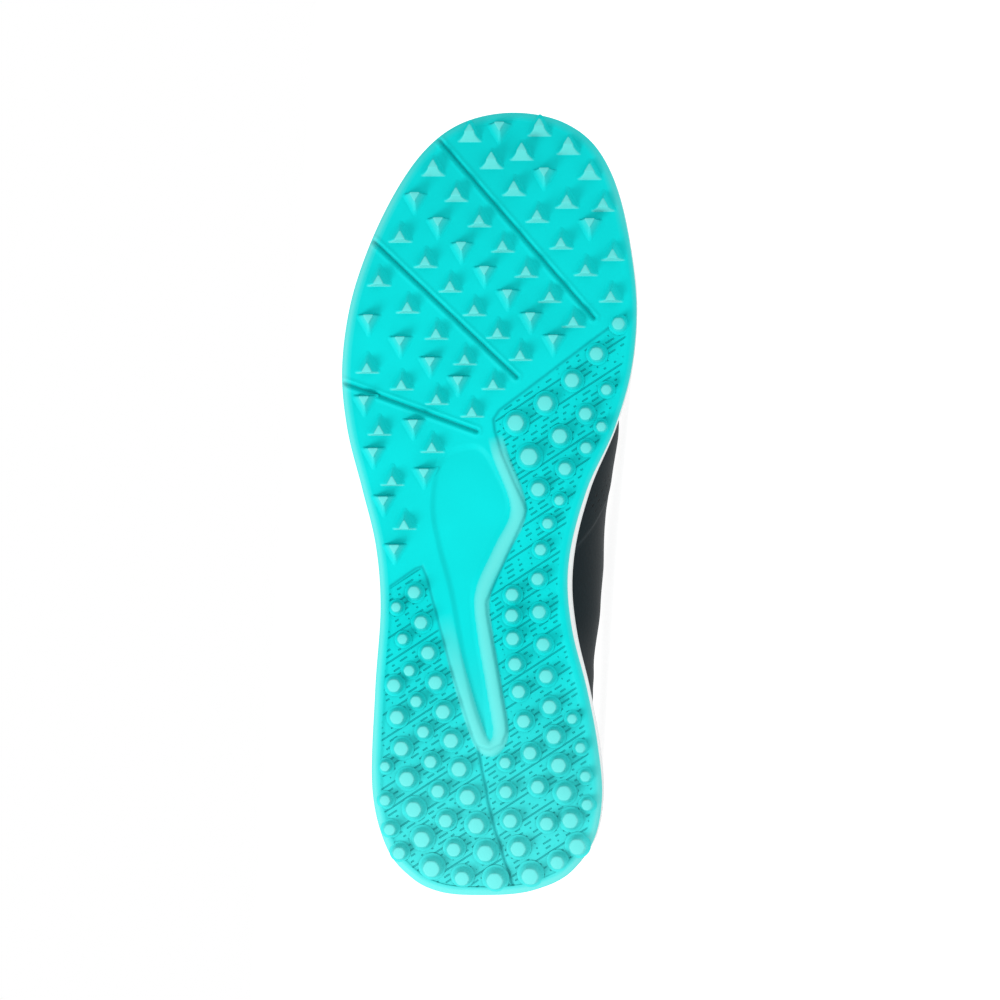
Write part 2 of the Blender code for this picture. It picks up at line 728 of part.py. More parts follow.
def make_midsole(parts, material):
    """Foam midsole: wall, lip round the upper's foot, and footbed."""
    shares = rounded_shares(SOLE_STATIONS)
    foot, wall_low, wall_high, lip_out, lip_in, bed = ({} for _ in range(6))
    lip_share = LIP_HEIGHT / INSTEP_HEIGHT
    for side in (INNER, OUTER):
        foot[side], wall_low[side], wall_high[side] = [], [], []
        lip_out[side], lip_in[side], bed[side] = [], [], []
        for s in shares:
            bulge = side_bulge(s, side)
            x, y = sole_outline.point(side, s, FOOT_INSET)
            foot[side].append(Vector((x, y, midsole_bottom(y))))
            x, y = sole_outline.point(side, s, -0.8 * bulge)
            low = midsole_bottom(y)
            wall_low[side].append(Vector((x, y, low + 0.22 * midsole_thickness(y))))
            close = upper_point(side, s, lip_share)
            outward = upper_normal(side, s, lip_share) if 0 < s < 1 else Vector((0, 2 * round(s) - 1, 0))
            flat = Vector((outward.x, outward.y, 0)).normalized()
            inner_edge = close + flat * (FIT_GAP + FOOT_INSET)
            lip_in[side].append(inner_edge)
            outer_edge = inner_edge + flat * LIP_THICKNESS
            outer_edge.z -= LIP_SLOPE
            lip_out[side].append(outer_edge)
            x, y = sole_outline.point(side, s, LIP_SLOPE - bulge)
            high = Vector((x, y, low + 0.72 * midsole_thickness(y)))
            wall_high[side].append(high)
            x, y = feather_outline.point(side, s, -(FIT_GAP + FOOT_INSET / 2))
            bed[side].append(Vector((x, y, midsole_top(y))))
    rows = [foot, wall_low, wall_high, lip_out, lip_in, bed]
    return new_object("midsole", lofted(rows, "midsole"), parts, material)


def make_insole(parts, material):
    """Foam insole, cut to lie inside the upper's wall."""
    shares = rounded_shares(SOLE_STATIONS - 4)
    side_gap = UPPER_WALL + INSOLE_SIDE_GAP
    rows = [
        outline_row(feather_outline, shares, side_gap, lambda y: midsole_top(y) + FIT_GAP),
        outline_row(feather_outline, shares, side_gap, lambda y: midsole_top(y) + 0.6 * INSOLE_THICKNESS),
        outline_row(feather_outline, shares, side_gap + INSOLE_CHAMFER, lambda y: midsole_top(y) + INSOLE_THICKNESS),
    ]
    return new_object("insole", lofted(rows, "insole"), parts, material)


def upper_stations():
    """Shares of the upper's sections: close at the ends and at the throat's front."""
    shares = set(rounded_shares(UPPER_STATIONS))
    span = THROAT_FRONT - THROAT_TOP
    nose = [THROAT_FRONT - span * THROAT_NOSE * back for back in (0.0, 0.12, 0.45, 1.0)]
    crowded = 0.008
    kept = [s for s in shares if all(abs(s - n) > crowded for n in nose)]
    return sorted(kept + nose)


def wall_thickness(share, rise):
    """Thickness of the upper's wall: even, with padding round the collar."""
    collar = smooth((0.0, 0.28, 0.38, 1.0), (1.0, 1.0, 0.0, 0.0), share)
    padding = smooth((0.0, 0.55, 0.80, 1.0), (0.0, 0.0, 0.9, 0.5), rise)
    return UPPER_WALL + (COLLAR_THICKNESS - UPPER_WALL) * collar * padding


def skin_point(side, share, rise, lift):
    """A point at a height over the upper's surface. Both sides agree where they meet."""
    normal = upper_normal(side, share, rise)
    closed_top = rise == 1 and share >= THROAT_FRONT
    if share in (0, 1) or closed_top:
        normal = (normal + upper_normal(-side, share, rise)).normalized()
    return upper_point(side, share, rise) + normal * lift


def add_skin(bm, side, stations, lift, outward):
    """One face of the upper's wall on one side, as rows of vertices by station."""
    grid = [[bm.verts.new(skin_point(side, s, r, lift(s, r))) for r in UPPER_ROWS] for s in stations]
    for a, b in zip(grid, grid[1:]):
        for j in range(len(UPPER_ROWS) - 1):
            for corners in ((a[j], b[j], b[j + 1]), (a[j], b[j + 1], a[j + 1])):
                bm.faces.new(corners if (side == OUTER) == outward else corners[::-1])
    return grid


def upper_shell(name, collection, inner_lift, outer_lift):
    """A wall between two heights over the upper's surface, open underneath and at the throat."""
    stations = upper_stations()
    bm = bmesh.new()
    for side in (INNER, OUTER):
        outer = add_skin(bm, side, stations, outer_lift, True)
        inner = add_skin(bm, side, stations, inner_lift, False)
        for i in range(len(stations) - 1):
            for j in (0, -1):
                if j == 0 or stations[i + 1] <= THROAT_FRONT:
                    bm.faces.new((outer[i][j], outer[i + 1][j], inner[i + 1][j], inner[i][j]))
    return new_object(name, finish_mesh(bm, name), collection)


def make_upper(parts, material):
    upper = upper_shell("upper", parts, lambda s, r: -wall_thickness(s, r), lambda s, r: 0.0)
    upper.data.materials.append(material)


def side_prism(name, outline, collection, half_width=0.09):
    """A block with an outline in the shoe's side view, through its whole width."""
    bm = bmesh.new()
    near = [bm.verts.new((-half_width, y, z)) for y, z in outline]
    far = [bm.verts.new((half_width, y, z)) for y, z in outline]
    count = len(outline)
    for i in range(count):
        k = (i + 1) % count
        bm.faces.new((near[i], near[k], far[k], far[i]))
    bmesh.ops.triangle_fill(bm, edges=[bm.edges.get((near[i - 1], near[i])) for i in range(count)])
    bmesh.ops.triangle_fill(bm, edges=[bm.edges.get((far[i - 1], far[i])) for i in range(count)])
    return new_object(name, finish_mesh(bm, name), collection)


def overlay(name, outline, parts, cutters, material):
    """A layer on the upper, cut from a shell of the upper's own shape."""
    top = FIT_GAP + OVERLAY_THICKNESS
    layer = upper_shell(name, parts, lambda s, r: FIT_GAP, lambda s, r: top)
    layer.data.materials.append(material)
    add_boolean(layer, side_prism(name + "_cutter", outline, cutters), "INTERSECT")
    return layer


def lip_height(y):
    """Height of the overlays' lower edge, just above the midsole's lip."""
    return midsole_top(y) + LIP_HEIGHT + OVERLAY_MARGIN


def side_view(points):
    """Side-view points from shares of the upper's length and of the height over the lip."""
    made = []
    for share, height in points:
        y = HEEL_MARGIN + share * UPPER_LENGTH
        low = lip_height(y)
        made.append((y, low + height * (top_height(min(max(share, 0), 1)) - low)))
    return made


def arc_through(start, middle, end, count=9):
    """Even points of the parabola through three points."""
    made = []
    for i in range(count + 1):
        t = i / count
        weights = (2 * (t - 0.5) * (t - 1), 4 * t * (1 - t), 2 * t * (t - 0.5))
        made.append(tuple(sum(w * p[k] for w, p in zip(weights, (start, middle, end))) for k in (0, 1)))
    return made


def lip_line(from_share, to_share, count=10):
    return [(from_share + (to_share - from_share) * i / count, 0.0) for i in range(count + 1)]


def make_toe_cap(parts, cutters, material):
    """Toe bumper: its back edge sweeps up over the toe box."""
    edge = arc_through(*TOE_CAP_EDGE)
    outline = side_view(edge + [(1.05, ABOVE_TOP)] + lip_line(1.05, edge[0][0]))
    return overlay("toe_cap", outline, parts, cutters, material)


def make_heel_counter(parts, cutters, material):
    """Stiff layer round the heel, high at the back and falling to the waist."""
    edge = arc_through(*HEEL_COUNTER_EDGE)
    outline = side_view(edge + [(-0.05, edge[-1][1])] + lip_line(-0.05, edge[0][0]))
    return overlay("heel_counter", outline, parts, cutters, material)


def make_eyestay(parts, cutters, material):
    """Lace stay: a band down both sides of the throat, joined across its front."""
    edge = arc_through(*EYESTAY_EDGE) + list(EYESTAY_FRONT)
    outline = side_view(edge + [(edge[0][0], ABOVE_TOP)])
    return overlay("eyestay", outline, parts, cutters, material)


def roof(share, across):
    """Height of the upper's roof over a place, bridging the throat with a low crown."""
    spine = section_value("spine", share) * LAST_BALL_WIDTH
    side = INNER if across < 0 else OUTER
    half = edge_half(share) * end_taper(share)
    if abs(across) < half:
        return top_height(share) + TONGUE_CROWN * (1 - (across / half) ** 2) * min(half / THROAT_TOP_HALF, 1.0)
    points = [upper_point(side, share, 1 - 0.5 * k / 24) for k in range(25)]
    spans = [abs(p.x - spine) for p in points]
    return float(np.interp(abs(across), spans, [p.z for p in points]))


def over_roof(share, across, lift):
    """A point at a height over the roof, square to it, and the roof's normal there."""
    step = 0.002
    step_share = step / UPPER_LENGTH
    slope_x = (roof(share, across + step) - roof(share, across - step)) / (2 * step)
    slope_y = (roof(share + step_share, across) - roof(share - step_share, across)) / (2 * step)
    normal = Vector((-slope_x, -slope_y, 1)).normalized()
    spine = section_value("spine", share) * LAST_BALL_WIDTH
    place = Vector((spine + across, HEEL_MARGIN + share * UPPER_LENGTH, roof(share, across)))
    return place + normal * lift, normal


def make_tongue(parts, material):
    """Padded tongue under the throat, with a free end above the top eyelets."""
    columns = [-1.0, -0.78, -0.52, -0.26, 0.0, 0.26, 0.52, 0.78, 1.0]
    shares = [s for s in upper_stations() if THROAT_TOP + 0.012 <= s <= 0.715]
    depth = UPPER_WALL + TONGUE_GAP
    rows = []
    for s in shares:
        half = TONGUE_HALF_WIDTH * smooth((THROAT_TOP, 0.47, 0.56, 0.72), (0.64, 0.96, 1.0, 0.72), s)
        rows.append([over_roof(s, half * c, -depth)[0] for c in columns])
    root, following = rows[0], rows[1]
    heading = (root[4] - following[4]).normalized()
    for reach, narrow in ((0.22, 0.97), (0.50, 0.96), (0.78, 0.95), (0.93, 0.88), (1.0, 0.74)):
        lift = Vector((0, 0, 0.26 * TONGUE_REACH * reach * reach))
        shift = heading * TONGUE_REACH * reach + lift
        row = []
        for c, p in zip(columns, root):
            drawn = Vector((root[4].x + (p.x - root[4].x) * narrow, p.y, p.z))
            row.append(drawn + shift - heading * (0.10 * TONGUE_REACH * abs(c) ** 2.5 * reach))
        rows.insert(0, row)
    bm = bmesh.new()
    grid = [[bm.verts.new(p) for p in row] for row in rows]
    for low, high in zip(grid, grid[1:]):
        for i in range(len(columns) - 1):
            bm.faces.new((low[i], high[i], high[i + 1], low[i + 1]))
    mesh = bpy.data.meshes.new("tongue")
    bmesh.ops.recalc_face_normals(bm, faces=bm.faces)
    if sum(f.normal.z for f in bm.faces) < 0:
        bmesh.ops.reverse_faces(bm, faces=bm.faces)
    bm.to_mesh(mesh)
    bm.free()
    mesh.shade_smooth()
    tongue = new_object("tongue", mesh, parts, material)
    padding = tongue.modifiers.new("padding", "SOLIDIFY")
    padding.thickness = TONGUE_THICKNESS
    padding.offset = -1
    return tongue


def eyelet_place(side, row):
    """Where an eyelet sits: share of the upper's length, and distance from the middle."""
    first, last = THROAT_FRONT - 0.022, THROAT_TOP + 0.020
    share = first + (last - first) * row / (LACE_ROWS - 1)
    edge = upper_point(side, share, 1.0)
    rise = 1.0
    while (upper_point(side, share, rise) - edge).length < EYELET_SETBACK:
        rise -= 0.005
    spine = section_value("spine", share) * LAST_BALL_WIDTH
    return share, upper_point(side, share, rise).x - spine


def lace_strand(name, start, end, crossing, collection):
    """A flat band from eyelet to eyelet over the tongue, raised in the middle by crossing."""
    count = 8
    lift = FIT_GAP + OVERLAY_THICKNESS + LACE_LIFT
    centres, normals = [], []
    for i in range(count + 1):
        t = i / count
        share, across = (a + (b - a) * t for a, b in zip(start, end))
        centre, normal = over_roof(share, across, lift + 4 * t * (1 - t) * crossing)
        centres.append(centre)
        normals.append(normal)
    bm = bmesh.new()
    rings = []
    for i, (centre, normal) in enumerate(zip(centres, normals)):
        heading = (centres[min(i + 1, count)] - centres[max(i - 1, 0)]).normalized()
        wide = heading.cross(normal).normalized() * (LACE_WIDTH / 2)
        thick = wide.cross(heading).normalized() * (LACE_THICKNESS / 2)
        corners = (wide + thick, -wide + thick, -wide - thick, wide - thick)
        rings.append([bm.verts.new(centre + c) for c in corners])
    for a, b in zip(rings, rings[1:]):
        for k in range(4):
            bm.faces.new((a[k], a[(k + 1) % 4], b[(k + 1) % 4], b[k]))
    bm.faces.new(rings[0])
    bm.faces.new(rings[-1][::-1])
    return new_object(name, finish_mesh(bm, name), collection)


def make_laces(parts, cutters, material):
    """Criss-cross lacing, its crossings and ends joined into one solid."""
    ends = eyelet_place(INNER, 0), eyelet_place(OUTER, 0)
    strands = [lace_strand("laces", *ends, 0.0, parts)]
    for row in range(LACE_ROWS - 1):
        for side in (INNER, OUTER):
            ends = eyelet_place(side, row), eyelet_place(-side, row + 1)
            crossing = LACE_CROSSING if side == OUTER else 0.0
            strands.append(lace_strand(f"lace_{row}_{side}", *ends, crossing, cutters))
    laces = strands[0]
    laces.data.materials.append(material)
    for other in strands[1:]:
        add_boolean(laces, other, "UNION")
    return laces


DENSITY = {
    "outsole": 1150.0,
    "midsole": 250.0,
    "insole": 180.0,
    "tongue": 250.0,
}
LEATHER_DENSITY = 700.0


def resting_matrix(items):
    """The pose in which the shoe lies on its inner side, toe towards +X, sole towards -Y.

    It rests on the face of its convex hull that the centre of mass stands over.
    """
    depsgraph = bpy.context.evaluated_depsgraph_get()
    depsgraph.update()
    cloud, weight, moment = bmesh.new(), 0.0, Vector()
    for item in items:
        solid = bmesh.new()
        solid.from_mesh(item.evaluated_get(depsgraph).to_mesh())
        bmesh.ops.triangulate(solid, faces=solid.faces)
        density = DENSITY.get(item.name, LEATHER_DENSITY)
        for face in solid.faces:
            a, b, c = (v.co for v in face.verts)
            share = density * a.dot(b.cross(c)) / 6
            weight += share
            moment += (a + b + c) / 4 * share
        for vert in solid.verts:
            cloud.verts.new(vert.co)
        solid.free()
    centre = moment / weight
    hull = bmesh.ops.convex_hull(cloud, input=cloud.verts)
    faces = [g for g in hull["geom"] if isinstance(g, bmesh.types.BMFace)]
    best = None
    for face in faces:
        a, b, c = (v.co for v in face.verts[:3])
        normal = (b - a).cross(c - a).normalized()
        if normal.dot(a - centre) < 0:
            normal = -normal
        if normal.x > -0.6:
            continue
        height = normal.dot(a - centre)
        foot = centre + normal * height
        turns = [(q - p).cross(foot - p).dot(normal) for p, q in ((a, b), (b, c), (c, a))]
        if all(t >= 0 for t in turns) or all(t <= 0 for t in turns):
            if best is None or height < best[0]:
                best = height, normal, face
    normal = best[1]
    low = [v.co.copy() for v in best[2].verts]
    cloud.free()
    toe = Vector((0, 1, 0))
    x_axis = (toe - normal * toe.dot(normal)).normalized()
    z_axis = -normal
    y_axis = z_axis.cross(x_axis)
    turn = Matrix((x_axis, y_axis, z_axis)).to_4x4()
    corners = []
    for item in items:
        corners += [turn @ v.co for v in item.evaluated_get(depsgraph).data.vertices]
    lowest = Vector((min(p[k] for p in corners) for k in range(3)))
    highest = Vector((max(p[k] for p in corners) for k in range(3)))
    middle = (lowest + highest) / 2
    print("rests on", [tuple(round(v / MM, 1) for v in p) for p in low])
    return Matrix.Translation((-middle.x, -middle.y, -lowest.z)) @ turn


def main():
    for item in list(bpy.data.objects):
        bpy.data.objects.remove(item)
    scene = bpy.context.scene
    parts = bpy.data.collections.new("turf_shoe")
    cutters = bpy.data.collections.new("cutters")
    scene.collection.children.link(parts)
    scene.collection.children.link(cutters)

    rubber = new_material("turquoise_rubber", (0.0, 0.72, 0.70), 0.45)
    foam = new_material("white_foam", (0.86, 0.88, 0.88), 0.6)
    leather = new_material("dark_synthetic", (0.012, 0.024, 0.032), 0.5)
    layer = new_material("dark_overlay", (0.009, 0.018, 0.026), 0.38)
    lining = new_material("dark_lining", (0.014, 0.020, 0.026), 0.9)
    cord = new_material("dark_lace", (0.010, 0.016, 0.022), 0.85)

    make_outsole(parts, cutters, rubber)
    make_midsole(parts, foam)
    make_insole(parts, lining)
    make_upper(parts, leather)
    make_tongue(parts, lining)
    make_toe_cap(parts, cutters, layer)
    make_heel_counter(parts, cutters, layer)
    make_eyestay(parts, cutters, layer)
    make_laces(parts, cutters, cord)

    for cutter in cutters.objects:
        cutter.hide_render = True
        cutter.display_type = "WIRE"

    items = [item for item in parts.objects if item.type == "MESH"]
    pose = bpy.data.objects.new("shoe_axes", None)
    scene.collection.objects.link(pose)
    pose.matrix_world = resting_matrix(items)
    for item in list(parts.objects) + list(cutters.objects):
        item.parent = pose
    bpy.context.view_layer.update()


main()
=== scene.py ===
# %% [markdown]
# # Dressing a turf shoe
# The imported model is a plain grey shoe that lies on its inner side. This script gives it
# the surface that a real one has: moulded rubber, foam, a smooth synthetic upper, stitching
# and cloth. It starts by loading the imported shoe, which stays where it is.

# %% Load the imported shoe
import json
import math

import bpy
import numpy as np
from mathutils import Matrix, Vector


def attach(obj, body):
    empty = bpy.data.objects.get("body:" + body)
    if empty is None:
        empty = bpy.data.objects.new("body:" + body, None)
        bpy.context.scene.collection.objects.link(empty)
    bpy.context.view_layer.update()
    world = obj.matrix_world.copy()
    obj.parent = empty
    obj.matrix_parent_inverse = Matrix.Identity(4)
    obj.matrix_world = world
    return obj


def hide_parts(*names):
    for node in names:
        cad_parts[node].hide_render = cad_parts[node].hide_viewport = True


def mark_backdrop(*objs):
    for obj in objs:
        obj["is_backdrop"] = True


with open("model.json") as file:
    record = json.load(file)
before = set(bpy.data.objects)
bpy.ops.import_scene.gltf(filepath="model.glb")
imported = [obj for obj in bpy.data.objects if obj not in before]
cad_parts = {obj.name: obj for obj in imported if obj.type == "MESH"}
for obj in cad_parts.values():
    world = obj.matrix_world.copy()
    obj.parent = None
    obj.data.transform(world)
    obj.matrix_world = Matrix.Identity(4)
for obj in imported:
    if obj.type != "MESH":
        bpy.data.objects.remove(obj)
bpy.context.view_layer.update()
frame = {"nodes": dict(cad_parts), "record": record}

MM = 0.001
print("packed pieces:", ", ".join(sorted(frame["nodes"])))

# %% [markdown]
# ## The shoe's own axes
# A shoe is easiest to draw as it stands: x from the inner to the outer side, y from heel to
# toe, z up. Two flat spots on the tread are marked in the record, and where they lie says how
# the shoe was laid down. Every piece below is drawn standing, and its points are moved to where
# the shoe lies. The finishes turn Blender's Object coordinates back to the standing shoe's axes.

# %% Find how the shoe was laid down
SOLE_LENGTH = 0.298
SOLE_BALL_WIDTH = 0.1118
TREAD_MARKS = {"heel_tread": (0.269, 0.149), "forefoot_tread": (-0.101, 0.602)}


def find_laid_down():
    """The matrix from the standing shoe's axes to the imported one."""
    mounts = {mount["name"]: mount for mount in frame["record"]["mounts"]}
    here, there = [], []
    for name, (across, along) in TREAD_MARKS.items():
        here.append(Vector((across * SOLE_BALL_WIDTH, along * SOLE_LENGTH, 0)))
        there.append(Vector(mounts[name]["pos_m"]))
    up = -Vector(mounts["heel_tread"]["axis"]).normalized()
    along_here = (here[1] - here[0]).normalized()
    along_there = (there[1] - there[0]).normalized()
    along_there = (along_there - up * along_there.dot(up)).normalized()
    standing = Matrix((along_here, Vector((0, 0, 1)).cross(along_here), Vector((0, 0, 1)))).transposed()
    lying = Matrix((along_there, up.cross(along_there), up)).transposed()
    turn = (lying @ standing.transposed()).to_4x4()
    return Matrix.Translation(there[0] - turn @ here[0]) @ turn


LAID_DOWN = find_laid_down()
STANDING = LAID_DOWN.inverted()


def laid_down(points):
    """Points of the standing shoe, moved to where it lies."""
    matrix = np.array(LAID_DOWN)
    return np.asarray(points) @ matrix[:3, :3].T + matrix[:3, 3]


print("laid down:", [[round(v, 4) for v in row] for row in LAID_DOWN])

# %% [markdown]
# ## Curves and outlines
# A shoemaker keeps a few outlines and cross-sections and draws smooth curves through them.
# NumPy works on whole arrays of places at once, which keeps fine meshes fast.

# %% Smooth curves through a few sizes
def steady_slopes(places, values):
    """Slopes for a smooth curve through the points that never overshoots them."""
    steps = np.diff(places)
    rises = np.diff(values) / steps
    slopes = np.zeros(len(places))
    for i in range(1, len(places) - 1):
        if rises[i - 1] * rises[i] > 0:
            near, far = 2 * steps[i] + steps[i - 1], steps[i] + 2 * steps[i - 1]
            slopes[i] = (near + far) / (near / rises[i - 1] + far / rises[i])
    slopes[0], slopes[-1] = rises[0], rises[-1]
    return slopes


def smooth(places, values, at):
    """Values at `at` on the smooth curve through (places, values)."""
    places, values = np.asarray(places, float), np.asarray(values, float)
    slopes = steady_slopes(places, values)
    at = np.clip(np.asarray(at, float), places[0], places[-1])
    i = np.clip(np.searchsorted(places, at, side="right") - 1, 0, len(places) - 2)
    step = places[i + 1] - places[i]
    t = (at - places[i]) / step
    from_start = (1 + 2 * t) * (1 - t) ** 2 * values[i] + t * (1 - t) ** 2 * step * slopes[i]
    from_end = t * t * (3 - 2 * t) * values[i + 1] + t * t * (t - 1) * step * slopes[i + 1]
    return from_start + from_end


def ramp(value, start, end):
    """0 before start, 1 after end, and a soft step between."""
    t = np.clip((np.asarray(value, float) - start) / (end - start), 0, 1)
    return t * t * (3 - 2 * t)


def bell(value, width):
    return np.exp(-((np.asarray(value) / width) ** 2))


def closed_curve(points, per_span=14):
    """Points of a smooth closed curve through the given ones (centripetal Catmull-Rom)."""
    points = [np.array(p, float) for p in points]
    count, made = len(points), []
    for i in range(count):
        p0, p1, p2, p3 = (points[(i + k - 1) % count] for k in range(4))
        t1 = math.sqrt(np.linalg.norm(p1 - p0))
        t2 = t1 + math.sqrt(np.linalg.norm(p2 - p1))
        t3 = t2 + math.sqrt(np.linalg.norm(p3 - p2))
        for k in range(per_span):
            t = t1 + (t2 - t1) * k / per_span
            a1 = p0 * (t1 - t) / t1 + p1 * t / t1
            a2 = p1 * (t2 - t) / (t2 - t1) + p2 * (t - t1) / (t2 - t1)
            a3 = p2 * (t3 - t) / (t3 - t2) + p3 * (t - t2) / (t3 - t2)
            b1 = a1 * (t2 - t) / t2 + a2 * t / t2
            b2 = a2 * (t3 - t) / (t3 - t1) + a3 * (t - t1) / (t3 - t1)
            made.append(b1 * (t2 - t) / (t2 - t1) + b2 * (t - t1) / (t2 - t1))
    return np.array(made)


def open_curve(points, per_span=6):
    """Points of a smooth open curve through the given ones."""
    first = tuple(2 * a - b for a, b in zip(points[0], points[1]))
    last = tuple(2 * a - b for a, b in zip(points[-1], points[-2]))
    loop = closed_curve([first, *points, last], per_span)
    return loop[per_span : per_span * len(points) + 1]


def lengths_along(points):
    """Distance from the first point to each point of a line."""
    steps = np.linalg.norm(np.diff(points, axis=0), axis=1)
    return np.concatenate([[0], np.cumsum(steps)])


# %% The two outlines
SOLE_OUTLINE = (
    # along, across
    (0.000, 0.024), (0.005, 0.170), (0.022, 0.258), (0.060, 0.341), (0.130, 0.389),
    (0.260, 0.381), (0.370, 0.363), (0.445, 0.379), (0.518, 0.425), (0.595, 0.476),
    (0.665, 0.494), (0.747, 0.470), (0.824, 0.408), (0.900, 0.314), (0.952, 0.218),
    (0.985, 0.104), (1.000, -0.080), (0.985, -0.265), (0.952, -0.371), (0.900, -0.440),
    (0.824, -0.487), (0.747, -0.508), (0.671, -0.491), (0.594, -0.432), (0.518, -0.340),
    (0.441, -0.283), (0.395, -0.273), (0.339, -0.289), (0.263, -0.340), (0.195, -0.375),
    (0.130, -0.391), (0.080, -0.371), (0.033, -0.292), (0.007, -0.160),
)
FEATHER_OUTLINE = (
    # along, across
    (0.000, 0.010), (0.006, 0.130), (0.025, 0.225), (0.065, 0.300), (0.130, 0.345),
    (0.260, 0.362), (0.370, 0.365), (0.480, 0.405), (0.590, 0.470), (0.665, 0.488),
    (0.750, 0.463), (0.830, 0.400), (0.905, 0.300), (0.955, 0.205), (0.987, 0.095),
    (1.000, -0.090), (0.987, -0.255), (0.955, -0.355), (0.900, -0.425), (0.830, -0.470),
    (0.750, -0.492), (0.680, -0.482), (0.600, -0.430), (0.520, -0.331), (0.440, -0.266),
    (0.380, -0.256), (0.300, -0.298), (0.200, -0.340), (0.130, -0.338), (0.065, -0.292),
    (0.025, -0.212), (0.006, -0.110),
)
HEEL_MARGIN = 0.0045
TOE_MARGIN = 0.0040
SIDE_MARGIN = 0.0059
UPPER_LENGTH = SOLE_LENGTH - HEEL_MARGIN - TOE_MARGIN
LAST_BALL_WIDTH = SOLE_BALL_WIDTH - 2 * SIDE_MARGIN
INNER, OUTER = -1, 1


class Outline:
    """A closed outline with an inner and an outer edge, each running from heel to toe."""

    def __init__(self, shares, length, width, setback):
        loop = closed_curve(shares) * (length, width)
        loop[:, 0] += setback
        heel, toe = int(loop[:, 0].argmin()), int(loop[:, 0].argmax())
        loop = np.roll(loop, -heel, axis=0)
        toe = (toe - heel) % len(loop)
        self.edges = {OUTER: loop[: toe + 1], INNER: np.vstack([loop[toe:], loop[:1]])[::-1]}
        self.heel, self.toe = loop[0, 0], loop[toe, 0]

    def across(self, side, y):
        edge = self.edges[side]
        return np.interp(y, edge[:, 0], edge[:, 1])

    def point(self, side, share, inset=0.0):
        """x and y at shares of the length, moved inward by inset along the edge's normal."""
        share = np.asarray(share, float)
        span = self.toe - self.heel
        y = self.heel + span * share
        step = span * np.clip(np.minimum(share, 1 - share), 1e-5, 0.004) * 0.5
        dx = self.across(side, y + step) - self.across(side, y - step)
        length = np.hypot(2 * step, dx)
        x_in = self.across(side, y) - inset * side * 2 * step / length
        y_in = y + inset * side * dx / length
        edge = self.edges[side]
        x_in = np.where(share <= 0, edge[0, 1], np.where(share >= 1, edge[-1, 1], x_in))
        y_in = np.where(share <= 0, self.heel + inset, np.where(share >= 1, self.toe - inset, y_in))
        return x_in, y_in

    def stations(self, count):
        """Shares of the length at even steps along the edge, so that round ends get enough."""
        ys = np.unique(np.concatenate([edge[:, 0] for edge in self.edges.values()]))
        walked = 0
        for edge in self.edges.values():
            walked = walked + np.interp(ys, edge[:, 0], lengths_along(edge)) / 2
        even = np.linspace(0, walked[-1], count + 1)
        shares = (np.interp(even, walked, ys) - self.heel) / (self.toe - self.heel)
        shares[0], shares[-1] = 0.0, 1.0
        return shares


sole_outline = Outline(SOLE_OUTLINE, SOLE_LENGTH, SOLE_BALL_WIDTH, 0.0)
feather_outline = Outline(FEATHER_OUTLINE, UPPER_LENGTH, LAST_BALL_WIDTH, HEEL_MARGIN)
print("sole edge:", round(lengths_along(sole_outline.edges[OUTER])[-1] / MM), "mm on the outer side")

# %% [markdown]
# ## Heights of the sole
# The tread is flat at the heel and the ball, lifted at the toe and eased at the heel's back.
# The plate, the midsole and the footbed all follow that one line.

# %% Heights from the tread plane
LUG_HEIGHT = 0.0042
PLATE_THICKNESS = 0.0036
RIM_WIDTH = 0.0032
RIM_DROP = 0.0016
TOE_SPRING = 0.0150
HEEL_BEVEL = 0.0045
ARCH_RISE = 0.0015
MIDSOLE_HEEL = 0.0215
FIT_GAP = 0.0003


def tip_plane(y):
    rows = (
        (0.00, HEEL_BEVEL), (0.05, HEEL_BEVEL * 0.36), (0.12, 0.0), (0.29, 0.0), (0.43, ARCH_RISE),
        (0.56, 0.0), (0.68, 0.0), (0.78, TOE_SPRING * 0.12), (0.88, TOE_SPRING * 0.42), (1.00, TOE_SPRING),
    )
    return smooth(*zip(*rows), np.asarray(y) / SOLE_LENGTH)


def plate_face(y):
    return tip_plane(y) + LUG_HEIGHT


def midsole_bottom(y):
    return plate_face(y) + PLATE_THICKNESS + FIT_GAP


def midsole_thickness(y):
    rows = ((0.0, 0.98), (0.18, 1.0), (0.38, 0.86), (0.60, 0.58), (0.78, 0.47), (1.0, 0.40))
    return MIDSOLE_HEEL * smooth(*zip(*rows), np.asarray(y) / SOLE_LENGTH)


def midsole_top(y):
    return midsole_bottom(y) + midsole_thickness(y)


print("footbed at the heel:", round(float(midsole_top(0.04)) / MM, 1), "mm up")

# %% [markdown]
# ## Gathering grids into meshes
# Every surface here is a grid of points: rows of a sole, rings of a stud, sections of an
# upper. One small class gathers grids, welds the points they share and turns each grid the
# right way out. It also keeps marks, one number for each point, which a finish can read.

# %% A mesh from grids
def stacked(x, y, z):
    return np.stack(np.broadcast_arrays(x, y, z), axis=-1).astype(float)


